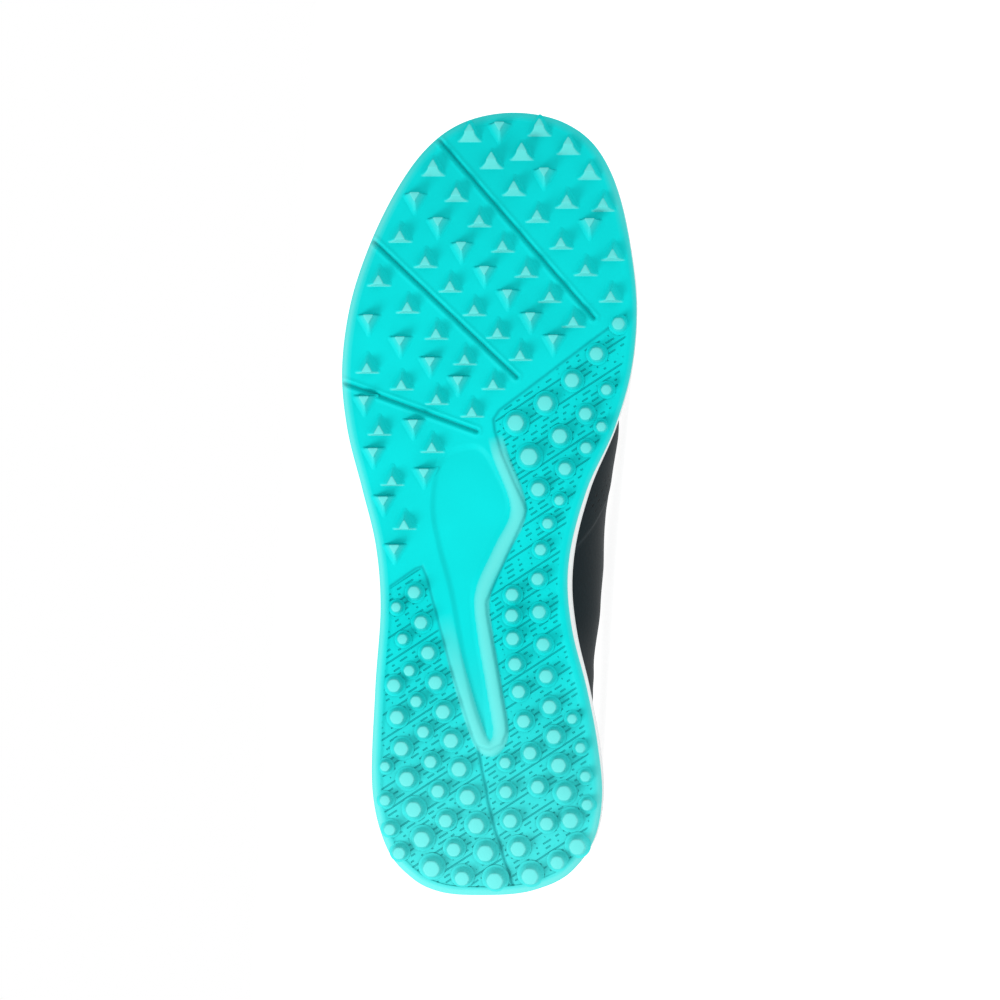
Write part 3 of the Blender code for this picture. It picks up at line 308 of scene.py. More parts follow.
class Shape:
    """Grids of points in the standing shoe's axes, gathered into one piece."""

    def __init__(self):
        self.points, self.quads, self.marks, self.count = [], [], [], 0

    def grid(self, rows, outward, around=False, **marks):
        """Adds rows of points. outward is a direction, or a point inside that faces look away from."""
        rows = np.asarray(rows, float)
        n, m = rows.shape[:2]
        index = self.count + np.arange(n * m).reshape(n, m)
        if around:
            index = np.concatenate([index, index[:, :1]], axis=1)
            rows_closed = np.concatenate([rows, rows[:, :1]], axis=1)
        else:
            rows_closed = rows
        a, b = rows_closed[:-1, :-1], rows_closed[:-1, 1:]
        c, d = rows_closed[1:, 1:], rows_closed[1:, :-1]
        normals = np.cross(c - a, d - b)
        centres = (a + b + c + d) / 4
        outward = np.asarray(outward, float)
        look = centres - outward if np.linalg.norm(outward) < 0.9 else outward
        quads = np.stack([index[:-1, :-1], index[:-1, 1:], index[1:, 1:], index[1:, :-1]], -1)
        if (normals * look).sum() < 0:
            quads = quads[..., ::-1]
        self.points.append(rows.reshape(-1, 3))
        self.quads.append(quads.reshape(-1, 4))
        self.marks.append({k: np.broadcast_to(v, (n, m)).reshape(-1) for k, v in marks.items()})
        self.count += n * m

    def make(self, name, finish, sharp=None, body="root"):
        points = np.concatenate(self.points)
        quads = np.concatenate(self.quads)
        cells = np.round(points / 2e-6).astype(np.int64)
        _, first, again = np.unique(cells, axis=0, return_index=True, return_inverse=True)
        quads = again.reshape(-1)[quads]
        repeats = (quads == np.roll(quads, 1, axis=1)).sum(1)
        faces = quads[repeats == 0].tolist()
        for quad in quads[repeats == 1].tolist():
            corners = list(dict.fromkeys(quad))
            if len(corners) == 3:
                faces.append(corners)
        mesh = bpy.data.meshes.new(name)
        mesh.from_pydata(laid_down(points[first]).tolist(), [], faces)
        mesh.validate()
        for key in sorted({k for marks in self.marks for k in marks}):
            values = np.concatenate([
                marks.get(key, np.zeros(len(points_)))
                for marks, points_ in zip(self.marks, self.points)
            ])
            layer = mesh.attributes.new(key, "FLOAT", "POINT")
            layer.data.foreach_set("value", values[first].astype(np.float32))
        mesh.shade_smooth()
        if sharp:
            mesh.set_sharp_from_angle(angle=math.radians(sharp))
        mesh.materials.append(finish)
        piece = bpy.data.objects.new(name, mesh)
        bpy.context.scene.collection.objects.link(piece)
        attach(piece, body)
        triangles = sum(len(face) - 2 for face in faces)
        low, high = points.min(0) / MM, points.max(0) / MM
        spans = ", ".join(f"{a:.1f} to {b:.1f}" for a, b in zip(low, high))
        print(f"{name}: {triangles} triangles, {spans} mm")
        return piece


# %% [markdown]
# ## Writing finishes as sums
# A finish is a network of nodes, but its maths reads best as Python. A Value wraps one
# socket, and its operators add the Math nodes. A Finish wraps a material and has one method
# that adds any other node: its type, its settings, and what goes into its sockets.

# %% Values and finishes
class Value:
    """One socket of a finish, which can be summed like a number."""

    def __init__(self, finish, socket):
        self.finish, self.socket = finish, socket

    def math(self, operation, *others, clamp=False):
        settings = {"operation": operation, "use_clamp": clamp}
        return self.finish.node("ShaderNodeMath", settings, dict(enumerate((self, *others))))

    def __add__(self, other):
        return self.math("ADD", other)

    __radd__ = __add__

    def __mul__(self, other):
        return self.math("MULTIPLY", other)

    __rmul__ = __mul__

    def __sub__(self, other):
        return self.math("SUBTRACT", other)

    def __rsub__(self, other):
        return (self * -1.0).math("ADD", other)

    def __truediv__(self, other):
        return self.math("DIVIDE", other)

    def floor(self):
        return self.math("FLOOR")

    def fraction(self):
        return self.math("FRACT")

    def distance(self, other):
        return (self - other).math("ABSOLUTE")

    def at_most(self, other):
        return self.math("MINIMUM", other)

    def at_least(self, other):
        return self.math("MAXIMUM", other)

    def ramp(self, start, end, low=0.0, high=1.0):
        """A soft step from low to high between start and end."""
        inputs = {"Value": self, "From Min": start, "From Max": end, "To Min": low, "To Max": high}
        return self.finish.node("ShaderNodeMapRange", {"interpolation_type": "SMOOTHSTEP"}, inputs)


class Finish:
    """A material with its Principled shader. Uniform numbers go straight to the shader."""

    def __init__(self, name, colour, roughness, **fixed):
        self.material = bpy.data.materials.new(name)
        self.material.use_nodes = True
        self.tree = self.material.node_tree
        self.shader = self.tree.nodes["Principled BSDF"]
        self.shader.inputs["Base Color"].default_value = (*colour, 1)
        self.shader.inputs["Roughness"].default_value = roughness
        for key, value in fixed.items():
            self.shader.inputs[key.replace("_", " ")].default_value = value

    def node(self, kind, settings=None, inputs=None, out=0):
        """Adds a node and returns its output as a Value."""
        node = self.tree.nodes.new(kind)
        for key, value in (settings or {}).items():
            setattr(node, key, value)
        for key, value in (inputs or {}).items():
            if isinstance(value, Value):
                self.tree.links.new(value.socket, node.inputs[key])
            else:
                node.inputs[key].default_value = value
        return Value(self, node.outputs[out])

    def feed(self, socket, value):
        self.tree.links.new(value.socket, self.shader.inputs[socket])

    def standing(self):
        """Where a point is on the standing shoe, in metres."""
        where = self.node("ShaderNodeTexCoord", out="Object")
        inputs = {"Vector": where, "Location": STANDING.translation, "Rotation": STANDING.to_euler()}
        return self.node("ShaderNodeMapping", {"vector_type": "POINT"}, inputs)

    def place(self):
        """x, y and z in the standing shoe's axes, in millimetres."""
        where = self.standing()
        apart = self.tree.nodes.new("ShaderNodeSeparateXYZ")
        self.tree.links.new(where.socket, apart.inputs[0])
        return [Value(self, apart.outputs[k]) * 1000.0 for k in range(3)]

    def noise(self, scale_mm, detail=2.0, roughness=0.5, stretch=(1, 1, 1)):
        """Soft noise with patches of about scale_mm."""
        where = self.node("ShaderNodeVectorMath", {"operation": "MULTIPLY"}, {0: self.standing(), 1: stretch})
        inputs = {"Vector": where, "Scale": 1 / (scale_mm * MM), "Detail": detail, "Roughness": roughness}
        return self.node("ShaderNodeTexNoise", {}, inputs)

    def mark(self, name):
        return self.node("ShaderNodeAttribute", {"attribute_name": name}, out="Fac")

    def mix(self, share, first, second):
        """Colour between two: first at 0, second at 1."""
        inputs = {0: share}
        for key, colour in ((6, first), (7, second)):
            inputs[key] = colour if isinstance(colour, Value) else (*colour, 1)
        return self.node("ShaderNodeMix", {"data_type": "RGBA"}, inputs, out=2)

    def bump(self, height_mm, strength=1.0, below=None):
        """Relief of that many millimetres, on top of an earlier bump."""
        inputs = {"Height": height_mm, "Distance": MM, "Strength": strength}
        if below:
            inputs["Normal"] = below
        return self.node("ShaderNodeBump", {}, inputs)


# %% [markdown]
# ## Moulded rubber
# The turquoise rubber is a soft satin. Its colour hardly varies, but painted sheen pales it at the
# rim, where the sole turns away, and towards the heel, and painted shade darkens the cuts.
# The fine ribs between the studs are too thin for a mesh, so a bump carries them: rows of
# dashes that climb towards the toe, with every fourth row a long line.

# %% The rubber finish
RIB_ANGLE = math.radians(33)
RIB_PITCH = 1.95
RIB_HALF = 0.36
DASH_PERIOD = 4.6


def ribs(finish, x, y):
    """1 in the thin cuts of the ribbed fields."""
    along = y * math.sin(RIB_ANGLE) - x * math.cos(RIB_ANGLE)
    rows = (x * math.sin(RIB_ANGLE) + y * math.cos(RIB_ANGLE)) / RIB_PITCH + 200.0
    row = rows.floor()
    cut = (rows.fraction().distance(0.5) * RIB_PITCH).ramp(RIB_HALF * 0.45, RIB_HALF, 1.0, 0.0)
    lot = finish.node("ShaderNodeTexWhiteNoise", {"noise_dimensions": "1D"}, {"W": row})
    dashes = along / DASH_PERIOD + lot * 7.0 + 100.0
    both = row * 17.0 + dashes.floor()
    size = finish.node("ShaderNodeTexWhiteNoise", {"noise_dimensions": "1D"}, {"W": both})
    half = size * 0.42
    dash = (dashes.fraction().distance(0.5) - half).ramp(-0.03, 0.03, 1.0, 0.0)
    fourth = (row * 0.25).fraction().ramp(0.05, 0.2, 1.0, 0.0)
    return cut * dash.at_least(fourth)


def make_rubber():
    finish = Finish("turquoise_rubber", (0.0, 0.46, 0.45), 0.5, Specular_IOR_Level=0.05)
    x, y, z = finish.place()
    cuts = ribs(finish, x, y) * finish.mark("ribbed")
    patches = finish.noise(38, 2).ramp(0.35, 0.65)
    grain = finish.noise(0.45, 3, 0.6)
    # Painted sheen: paler towards the heel, where the sole tilts to the lamp. The pale mark adds painted sheen on the
    # rims, painted highlights on the lugs' flanks and lit flat sides, and paler lug tops and ridge.
    heel = y.ramp(0, 105, 1.0, 0.0)
    pale = (finish.mark("pale") + heel * 0.40).at_most(1.0)
    base = finish.mix(patches, (0.0, 0.462, 0.456), (0.0, 0.488, 0.482))
    base = finish.mix(pale, base, (0.098, 0.500, 0.482))
    # Painted shade: the rib cuts, grooves, field edge, heel split and the flat side of wedges that point to the heel
    # are darkened toward this colour.
    dark = (cuts * 0.52 + finish.mark("hollow")).at_most(1.0)
    base = finish.mix(dark, base, (0.0, 0.145, 0.165))
    finish.feed("Base Color", base)
    finish.feed("Roughness", 0.46 + grain * 0.10 + pale * 0.06)
    relief = finish.bump(grain * 0.035 - cuts * 0.55, 0.8)
    finish.feed("Normal", relief)
    return finish.material


RUBBER = make_rubber()

# %% [markdown]
# ## The tread plate
# The plate carries everything else, so it is one fine grid over the whole sole: each row
# crosses it from the back of one rim, over the rounded edge, across the face and down the
# other rim. Grooves, the sunk arch panel, the ridge beside it and the edges of the ribbed
# fields are written as heights over that face, from distances to a few lines.

# %% Lines drawn on the plate
FIELD_EDGE = (
    # along, across: from the inner rim round the tongue to the outer rim
    (0.758, -0.540), (0.745, -0.493), (0.681, -0.265), (0.6186, -0.0442), (0.6071, -0.0238),
    (0.5918, -0.0290), (0.5625, -0.0544), (0.5268, -0.0952), (0.4987, -0.1300), (0.4911, -0.1350),
    (0.4821, -0.1292), (0.4324, -0.0680), (0.3775, -0.0034), (0.3724, 0.0), (0.3571, -0.0034),
    (0.2959, -0.0340), (0.2219, -0.0680), (0.2090, -0.0700), (0.1939, -0.0544), (0.1865, -0.0102),
    (0.1901, 0.0306), (0.1990, 0.0442), (0.2908, 0.1224), (0.4082, 0.2074), (0.4196, 0.2210),
    (0.4171, 0.2414), (0.3903, 0.3434), (0.3700, 0.4200),
)
HEEL_SPLIT = ((0.1901, 0.0306), (0.0995, -0.0170), (0.0064, -0.0918), (-0.02, -0.110))
GROOVES = (
    # along from, across from, along to, across to
    (0.990, 0.230, 0.736, -0.364),
    (0.862, 0.465, 0.661, -0.102),
    (0.668, 0.590, 0.592, 0.034),
)
PANEL_OUTLINE = (
    # along, across
    (0.575, 0.075), (0.554, 0.167), (0.496, 0.194), (0.446, 0.173), (0.390, 0.133),
    (0.296, 0.085), (0.231, 0.041), (0.202, 0.000), (0.250, -0.010), (0.335, 0.024),
    (0.390, 0.036), (0.441, -0.016), (0.496, -0.086), (0.543, -0.040), (0.571, 0.010),
)
RIB_PATH = (
    # along, across
    (0.586, -0.030), (0.562, -0.046), (0.491, -0.108), (0.439, -0.048), (0.380, 0.016),
    (0.335, 0.006), (0.263, -0.026), (0.205, -0.048), (0.188, -0.022), (0.192, 0.012),
    (0.222, 0.046), (0.290, 0.100), (0.360, 0.146),
)


def on_sole(shares):
    """x and y in millimetres of places given along and across."""
    shares = np.asarray(shares, float)
    return np.stack([shares[:, 1] * SOLE_BALL_WIDTH, shares[:, 0] * SOLE_LENGTH], -1) / MM


def distance_to(path, x, y):
    """Distance from each place to a line, and how far along the line it is."""
    best, where = np.full(x.shape, 1e9), np.zeros(x.shape)
    walked = lengths_along(path)
    for (ax, ay), (bx, by), start in zip(path[:-1], path[1:], walked):
        length = math.hypot(bx - ax, by - ay)
        t = np.clip(((x - ax) * (bx - ax) + (y - ay) * (by - ay)) / length**2, 0, 1)
        away = np.hypot(x - ax - t * (bx - ax), y - ay - t * (by - ay))
        where = np.where(away < best, start + t * length, where)
        best = np.minimum(best, away)
    return best, where


def inside(loop, x, y):
    """Whether each place lies inside a closed line."""
    odd = np.zeros(x.shape, bool)
    for (ax, ay), (bx, by) in zip(loop, np.roll(loop, -1, axis=0)):
        if ay != by:
            odd ^= ((ay > y) != (by > y)) & (x < (bx - ax) * (y - ay) / (by - ay) + ax)
    return odd


field_edge = on_sole(FIELD_EDGE)
field_loop = on_sole(FIELD_EDGE + ((-0.2, 0.6), (-0.2, -0.6), (0.758, -0.6)))
panel_loop = on_sole(closed_curve(PANEL_OUTLINE, 8))
ridge_path = on_sole(open_curve(RIB_PATH, 5))


def groove_relief(x, y):
    """Height in millimetres of the three long grooves and their lips, and the painted shade in them."""
    height, hollow = np.zeros(x.shape), np.zeros(x.shape)
    for a0, c0, a1, c1 in GROOVES:
        away, _ = distance_to(on_sole(((a0, c0), (a1, c1))), x, y)
        height = height - 1.25 * bell(away, 0.75) + 0.42 * bell(away - 1.55, 0.62)
        hollow = np.maximum(hollow, 0.34 * bell(away, 0.60))
    return height, hollow


def plate_relief(x, y):
    """Height over the face in millimetres, and the marks that the rubber reads."""
    edge, _ = distance_to(field_edge, x, y)
    within = inside(field_loop, x, y)
    sunk = ramp(np.where(within, edge, 0), 0.0, 0.9)
    height = -0.40 * sunk - 0.55 * bell(edge, 0.50)
    # Painted shade along the sunk line at the ribbed field's edge.
    hollow = 0.50 * bell(edge, 0.50)
    split, _ = distance_to(on_sole(HEEL_SPLIT), x, y)
    height = height - 0.75 * bell(split, 0.55)
    # Painted shade along the heel's split line.
    hollow = np.maximum(hollow, 0.55 * bell(split, 0.50))
    cut, dark = groove_relief(x, y)
    height = height + cut
    hollow = np.maximum(hollow, dark)
    border, _ = distance_to(np.vstack([panel_loop, panel_loop[:1]]), x, y)
    depth = np.where(inside(panel_loop, x, y), border, 0)
    height = height - 1.15 * ramp(depth, -0.5, 2.6)
    ridge, walked = distance_to(ridge_path, x, y)
    whole = lengths_along(ridge_path)[-1]
    fade = ramp(walked, 0, 9) * (1 - ramp(walked, whole - 45, whole))
    bar = np.clip(1 - (ridge / 3.0) ** 2, 0, 1) ** 0.7 * fade
    height = height + 1.15 * bar
    pale = 0.85 * np.sqrt(bar)
    ribbed = ramp(np.where(within, edge, 0), 0.5, 1.1) * ramp(split, 0.6, 1.2) * (bar <= 0)
    return height, ribbed, hollow * (1 - 0.7 * bar), pale


# %% Make the plate in two pieces
def plate_piece(name, stations, columns):
    """A stretch of the plate between two stations, with its rims."""
    rim = []
    for k in range(9):
        turn = math.pi / 2 * k / 8
        rim.append((RIM_WIDTH * (1 - math.sin(turn)) ** 1.15, 1 - math.cos(turn) ** 1.6))
    rim = rim[::-1]
    shares = np.asarray(stations)
    left, right = [], []
    for side, store in ((INNER, left), (OUTER, right)):
        for depth in (1.0, 0.72, 0.45):
            x, y = sole_outline.point(side, shares, 0.0)
            low = plate_face(y) + RIM_DROP
            high = plate_face(y) + PLATE_THICKNESS
            store.append(stacked(x, y, low + (high - low) * depth))
        for inset, rise in rim:
            x, y = sole_outline.point(side, shares, inset)
            store.append(stacked(x, y, plate_face(y) + RIM_DROP * rise))
    # Painted sheen along both rims, where the sole turns away; along the middle of the sole the inner rim gets less of
    # it, and it fades toward the toe.
    sheen_on_rim = np.array([0.9, 0.9, 0.9] + [0.85] * 6 + [0.5, 0.2, 0.1])
    sheen_on_inner_rim = np.array([0.9, 0.9, 0.9, 0.8, 0.7, 0.5, 0.35, 0.2, 0.1, 0.0, 0.0, 0.0])
    fading = (1 - 0.75 * ramp(shares, 0.86, 0.97))[:, None]
    middle_part = (ramp(shares, 0.03, 0.28) * (1 - ramp(shares, 0.80, 0.95)))[:, None]
    sheen_on_inner_rim = sheen_on_rim * (1 - middle_part) + sheen_on_inner_rim * middle_part
    sides = []
    for store in (left, right):
        band = np.stack(store, 1)
        # The grooves' painted shade, where they cut into the rims.
        cut, dark = groove_relief(band[..., 0] / MM, band[..., 1] / MM)
        reach = np.array([0.0] * 6 + [0.25, 0.6, 0.85, 1.0, 1.0, 1.0])
        band[..., 2] -= cut * reach * MM
        sides.append((band, dark * reach))
    middle = []
    for t in np.linspace(0, 1, columns + 2)[1:-1]:
        middle.append(left[-1] * (1 - t) + right[-1] * t)
    face = np.stack(middle, 1)
    height, ribbed, hollow, pale = plate_relief(face[..., 0] / MM, face[..., 1] / MM)
    width = np.linalg.norm(left[-1] - right[-1], axis=1)[:, None] / MM
    t = np.linspace(0, 1, columns + 2)[1:-1]
    inland = np.minimum(t, 1 - t) * width
    keep = ramp(inland, 0.0, 1.5)
    # Near the rims the grooves' painted shade takes the place of the face's.
    cut, dark = groove_relief(face[..., 0] / MM, face[..., 1] / MM)
    height = cut * (1 - keep) + height * keep
    hollow = dark * (1 - keep) + hollow * keep
    ribbed = ribbed * ramp(inland, 0.2, 1.0)
    face[..., 2] = plate_face(face[..., 1]) - height * MM
    (inner_band, inner_dark), (outer_band, outer_dark) = sides
    rows = np.concatenate([inner_band, face, outer_band[:, ::-1]], 1)
    ends = np.zeros((len(shares), len(left)))
    shape = Shape()
    shape.grid(
        rows,
        (0, 0, -1),
        ribbed=np.hstack([ends, ribbed, ends]),
        hollow=np.hstack([inner_dark, hollow, outer_dark[:, ::-1]]),
        pale=np.hstack([sheen_on_inner_rim * fading, pale, sheen_on_rim[::-1] * fading]),
    )
    return shape.make(name, RUBBER)


PLATE_STEPS = 760
sole_stations = sole_outline.stations(PLATE_STEPS)
half_way = int(np.searchsorted(sole_stations, 0.50))
heel_plate = plate_piece("heel_plate", sole_stations[: half_way + 1], 190)
toe_plate = plate_piece("toe_plate", sole_stations[half_way:], 222)

# %% [markdown]
# ## Lugs
# The forefoot has three-sided wedges and the inner side and heel have round studs. Real ones
# are cut into the mould with a tapered tool, so their flanks are hollow and run out into the
# plate, and only the tops are flat. Each lug here is a stack of rings that grows outwards in
# the same way. The tables give each row by its start, middle and end.

# %% Where the lugs stand
WEDGE_ROWS = (
    # along, across, mid along, mid across, end along, end across, wedges (T to the toe, H to the heel)
    (0.978, -0.173, 0.939, -0.313, 0.881, -0.394, "TTTT"),
    (0.976, -0.037, 0.901, -0.231, 0.818, -0.428, "HTHTHT"),
    (0.971, 0.065, 0.867, -0.170, 0.765, -0.422, "TTTTTTT"),
    (0.927, 0.187, 0.829, -0.054, 0.733, -0.296, "TTTTTTT"),
    (0.886, 0.248, 0.792, 0.007, 0.705, -0.228, "HHHHHHH"),
    (0.842, 0.296, 0.763, 0.082, 0.691, -0.116, "TTTTTT"),
    (0.786, 0.367, 0.718, 0.170, 0.654, -0.024, "TTTTT"),
    (0.731, 0.401, 0.690, 0.241, 0.653, 0.095, "HHHH"),
    (0.675, 0.405, 0.644, 0.228, 0.619, 0.048, "TTTT"),
    (0.628, 0.415, 0.614, 0.333, 0.598, 0.248, "HH"),
    (0.596, 0.364, 0.584, 0.275, 0.574, 0.184, "TT"),
    (0.562, 0.384, 0.548, 0.296, 0.536, 0.211, "HH"),
    (0.532, 0.320, 0.504, 0.299, 0.476, 0.279, "TT"),
    (0.501, 0.350, 0.471, 0.333, 0.439, 0.313, "HH"),
)
STUD_ROWS = (
    # along, across, mid along, mid across, end along, end across, count, size, end size
    (0.727, -0.449, 0.656, -0.292, 0.602, -0.101, 5, 0.80, 1.06),
    (0.644, -0.408, 0.599, -0.296, 0.559, -0.146, 4, 0.66, 1.12),
    (0.597, -0.391, 0.557, -0.306, 0.518, -0.177, 4, 0.62, 0.90),
    (0.504, -0.248, 0.441, -0.184, 0.361, -0.180, 5, 0.60, 0.85),
    (0.320, -0.194, 0.185, -0.238, 0.065, -0.309, 8, 0.84, 1.05),
    (0.383, -0.088, 0.242, -0.119, 0.045, -0.241, 10, 0.82, 0.88),
    (0.226, -0.292, 0.171, -0.330, 0.117, -0.343, 4, 0.62, 0.70),
    (0.170, -0.065, 0.097, -0.082, 0.028, -0.148, 5, 0.72, 1.10),
    (0.386, 0.245, 0.198, 0.119, 0.022, -0.028, 11, 0.80, 1.10),
    (0.367, 0.306, 0.190, 0.201, 0.025, 0.083, 10, 0.62, 0.95),
    (0.268, 0.313, 0.149, 0.269, 0.037, 0.187, 7, 0.86, 1.10),
    (0.165, 0.343, 0.103, 0.337, 0.056, 0.296, 4, 0.62, 0.80),
)


def bent_row(row, count):
    """Even places along the curve through a row's start, middle and end."""
    for i in range(count):
        t = i / (count - 1)
        weights = (2 * (t - 0.5) * (t - 1), 4 * t * (1 - t), 2 * t * (t - 0.5))
        yield tuple(sum(w * row[2 * n + k] for n, w in enumerate(weights)) for k in (0, 1)) + (t,)


def set_on_plate(points, along, across):
    """Turns points over a flat plate, in millimetres, to their place on the sole."""
    y = along * SOLE_LENGTH
    slope = float(plate_face(y + 0.002) - plate_face(y - 0.002)) / 0.004
    forward = np.array((0, 1, slope)) / math.hypot(1, slope)
    down = np.array((0, slope, -1)) / math.hypot(1, slope)
    centre = np.array((across * SOLE_BALL_WIDTH, y, float(plate_face(y))))
    axes = np.stack([np.array((1.0, 0, 0)), forward, down])
    return centre + points @ axes * MM


# %% Wedge lugs
WEDGE_WIDTH = 9.8
WEDGE_LENGTH = 8.6
WEDGE_TOP = 0.42


def rounded_triangle(width, length, back, radius):
    """Points round a triangle with rounded corners: its flat side at the back, its point ahead."""
    corners = np.array(((0, back + length), (-width / 2, back), (width / 2, back)))
    middle = corners.mean(0)
    made = []
    for k in range(3):
        corner, before, after = corners[k], corners[k - 1], corners[(k + 1) % 3]
        into = (before - corner) / np.linalg.norm(before - corner)
        onward = (after - corner) / np.linalg.norm(after - corner)
        half = math.acos(np.clip(into @ onward, -1, 1)) / 2
        radius_here = min(radius, 0.3 * width * math.tan(half))
        centre = corner + (into + onward) / np.linalg.norm(into + onward) * radius_here / math.sin(half)
        start, end = corner + into * radius_here / math.tan(half), corner + onward * radius_here / math.tan(half)
        for t in np.linspace(0, 1, 6):
            point = start * (1 - t) + end * t - centre
            made.append(centre + point / np.linalg.norm(point) * radius_here)
        if k < 3:
            following = corners[(k + 1) % 3]
            for t in (0.25, 0.45, 0.6, 0.75):
                made.append(end * (1 - t) + (following - onward * radius_here / math.tan(half)) * t)
    return np.array(made), middle


def wedge_rings(lean, lit_flat_side):
    """Rings of a wedge that points to the toe, in millimetres over a flat plate.

    lean is how far its flat side slopes in from foot to top. The second argument is 1 where
    that side gets a painted highlight, facing the lamp, and 0 where it gets painted shade.
    """
    tall = LUG_HEIGHT / MM
    rings, pale, hollow = [], [], []
    for rise in (-0.06, 0.0, 0.05, 0.12, 0.22, 0.35, 0.5, 0.66, 0.82, 0.94, 0.985, 1.0):
        body = min(max(rise, 0.0), 0.94)
        shrink = 1 - (1 - WEDGE_TOP) * (1 - (1 - body) ** 1.6) / (1 - 0.06**1.6)
        width, length = WEDGE_WIDTH * shrink, WEDGE_LENGTH * shrink
        back = -WEDGE_LENGTH / 3 + lean * body
        ease = {0.985: 0.93, 1.0: 0.80}.get(rise, 1.0)
        radius = (0.9 - 0.6 * body) * ease
        if rise <= 0:
            width, length = width * 1.07 + 0.5, length * 1.05 + 0.3
            back -= 0.12
        if rise < 0:
            width, length, back = width + 1.0, length + 0.9, back - 0.3
        ring, _ = rounded_triangle(width, length, back, radius)
        centre = np.array((0, back + length / 3))
        ring = centre + (ring - centre) * ease
        rings.append(np.column_stack([ring, np.full(len(ring), rise * tall)]))
        # Painted light: a wedge pointing to the toe gets a painted highlight on its flat side and one pointing to the
        # heel painted shade there; the flanks get painted sheen growing towards the top, more on wedges pointing to the
        # heel, and the top is paler.
        flat_side = ramp(back + 0.5 - ring[:, 1], 0.0, 0.4) * ramp(rise, -0.02, 0.04)
        flank = 0.85 if rise > 0.9 else (0.15 + 0.35 * (1 - lit_flat_side)) * body
        pale.append(np.maximum(flank * (1 - 0.8 * flat_side * (1 - lit_flat_side) * (rise < 0.9)), 0.9 * flat_side * lit_flat_side))
        hollow.append(0.42 * flat_side * (1 - lit_flat_side) * (rise < 0.9))
    middle = rings[-1].mean(0)
    rings.append(np.repeat(middle[None], len(rings[-1]), 0))
    pale.append(np.full(len(ring), 0.9))
    hollow.append(np.zeros(len(ring)))
    return np.array(rings), np.array(pale), np.array(hollow)


lugs = Shape()
wedge_count = 0
for *row, signs in WEDGE_ROWS:
    for (along, across, _), sign in zip(bent_row(row, len(signs)), signs):
        curl = 2.4 * float(ramp(along, 0.84, 0.97))
        to_toe = sign == "T"
        # Wedges that point to the toe get a painted highlight on their flat side, the others painted shade.
        wedge, pale, hollow = wedge_rings(0.45 + curl * to_toe, float(to_toe))
        turned = wedge * ((1, 1, 1) if to_toe else (-1, -1, 1))
        placed = set_on_plate(turned, along, across)
        inner = placed[:2].reshape(-1, 3).mean(0) + (0, 0, 0.006)
        lugs.grid(placed, inner, around=True, pale=pale, hollow=hollow)
        wedge_count += 1
print(wedge_count, "wedges")

# %% Round studs
STUD_RADIUS = 4.15
STUD_TOP = 0.68


def stud_rings(size):
    """Rings of a round stud, faintly six-sided as the cutter leaves it."""
    tall = LUG_HEIGHT / MM
    radius = STUD_RADIUS * size
    turn = np.linspace(0, math.tau, 24, endpoint=False)
    rings, pale = [], []
    for rise in (-0.05, 0.0, 0.06, 0.15, 0.3, 0.48, 0.66, 0.82, 0.92, 0.975, 1.0):
        body = min(max(rise, 0.0), 0.9)
        shrink = 1 - (1 - STUD_TOP) * (1 - (1 - body) ** 1.7) / (1 - 0.1**1.7)
        shrink *= {0.975: 0.93, 1.0: 0.78}.get(rise, 1.0)
        faces = 1 + 0.028 * np.cos(6 * turn) * body
        reach = radius * shrink * faces + {-0.05: 0.70, 0.0: 0.14}.get(rise, 0.0)
        rings.append(np.column_stack([reach * np.cos(turn), reach * np.sin(turn), np.full(24, rise * tall)]))
        # Painted sheen on the flanks, growing towards the top, lifts their shade; the top is paler.
        pale.append(0.85 if rise > 0.9 else 0.38 * body)
    rings.append(np.repeat([[0, 0, tall * 1.015]], 24, 0))
    pale.append(0.9)
    return np.array(rings), np.array(pale)


stud_count = 0
for *row, count, size, end_size in STUD_ROWS:
    for along, across, t in bent_row(row, count):
        rings, pale = stud_rings(size + (end_size - size) * t)
        placed = set_on_plate(rings, along, across)
        inner = placed[:2].reshape(-1, 3).mean(0) + (0, 0, 0.006)
        lugs.grid(placed, inner, around=True, pale=pale[:, None])
        stud_count += 1
print(stud_count, "studs")
tread_lugs = lugs.make("tread_lugs", RUBBER, sharp=80)
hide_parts("outsole")
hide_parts("outsole")
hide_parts("outsole")

# %% [markdown]
# ## Foam midsole
# The midsole is one block of white foam. Its wall rises from the rubber, bulges a little at
# the waist and ends in a soft lip that holds the upper's foot. It is drawn as rings round the
# sole: a few key rings at the heights where the mould changes, and rounded ones between them.

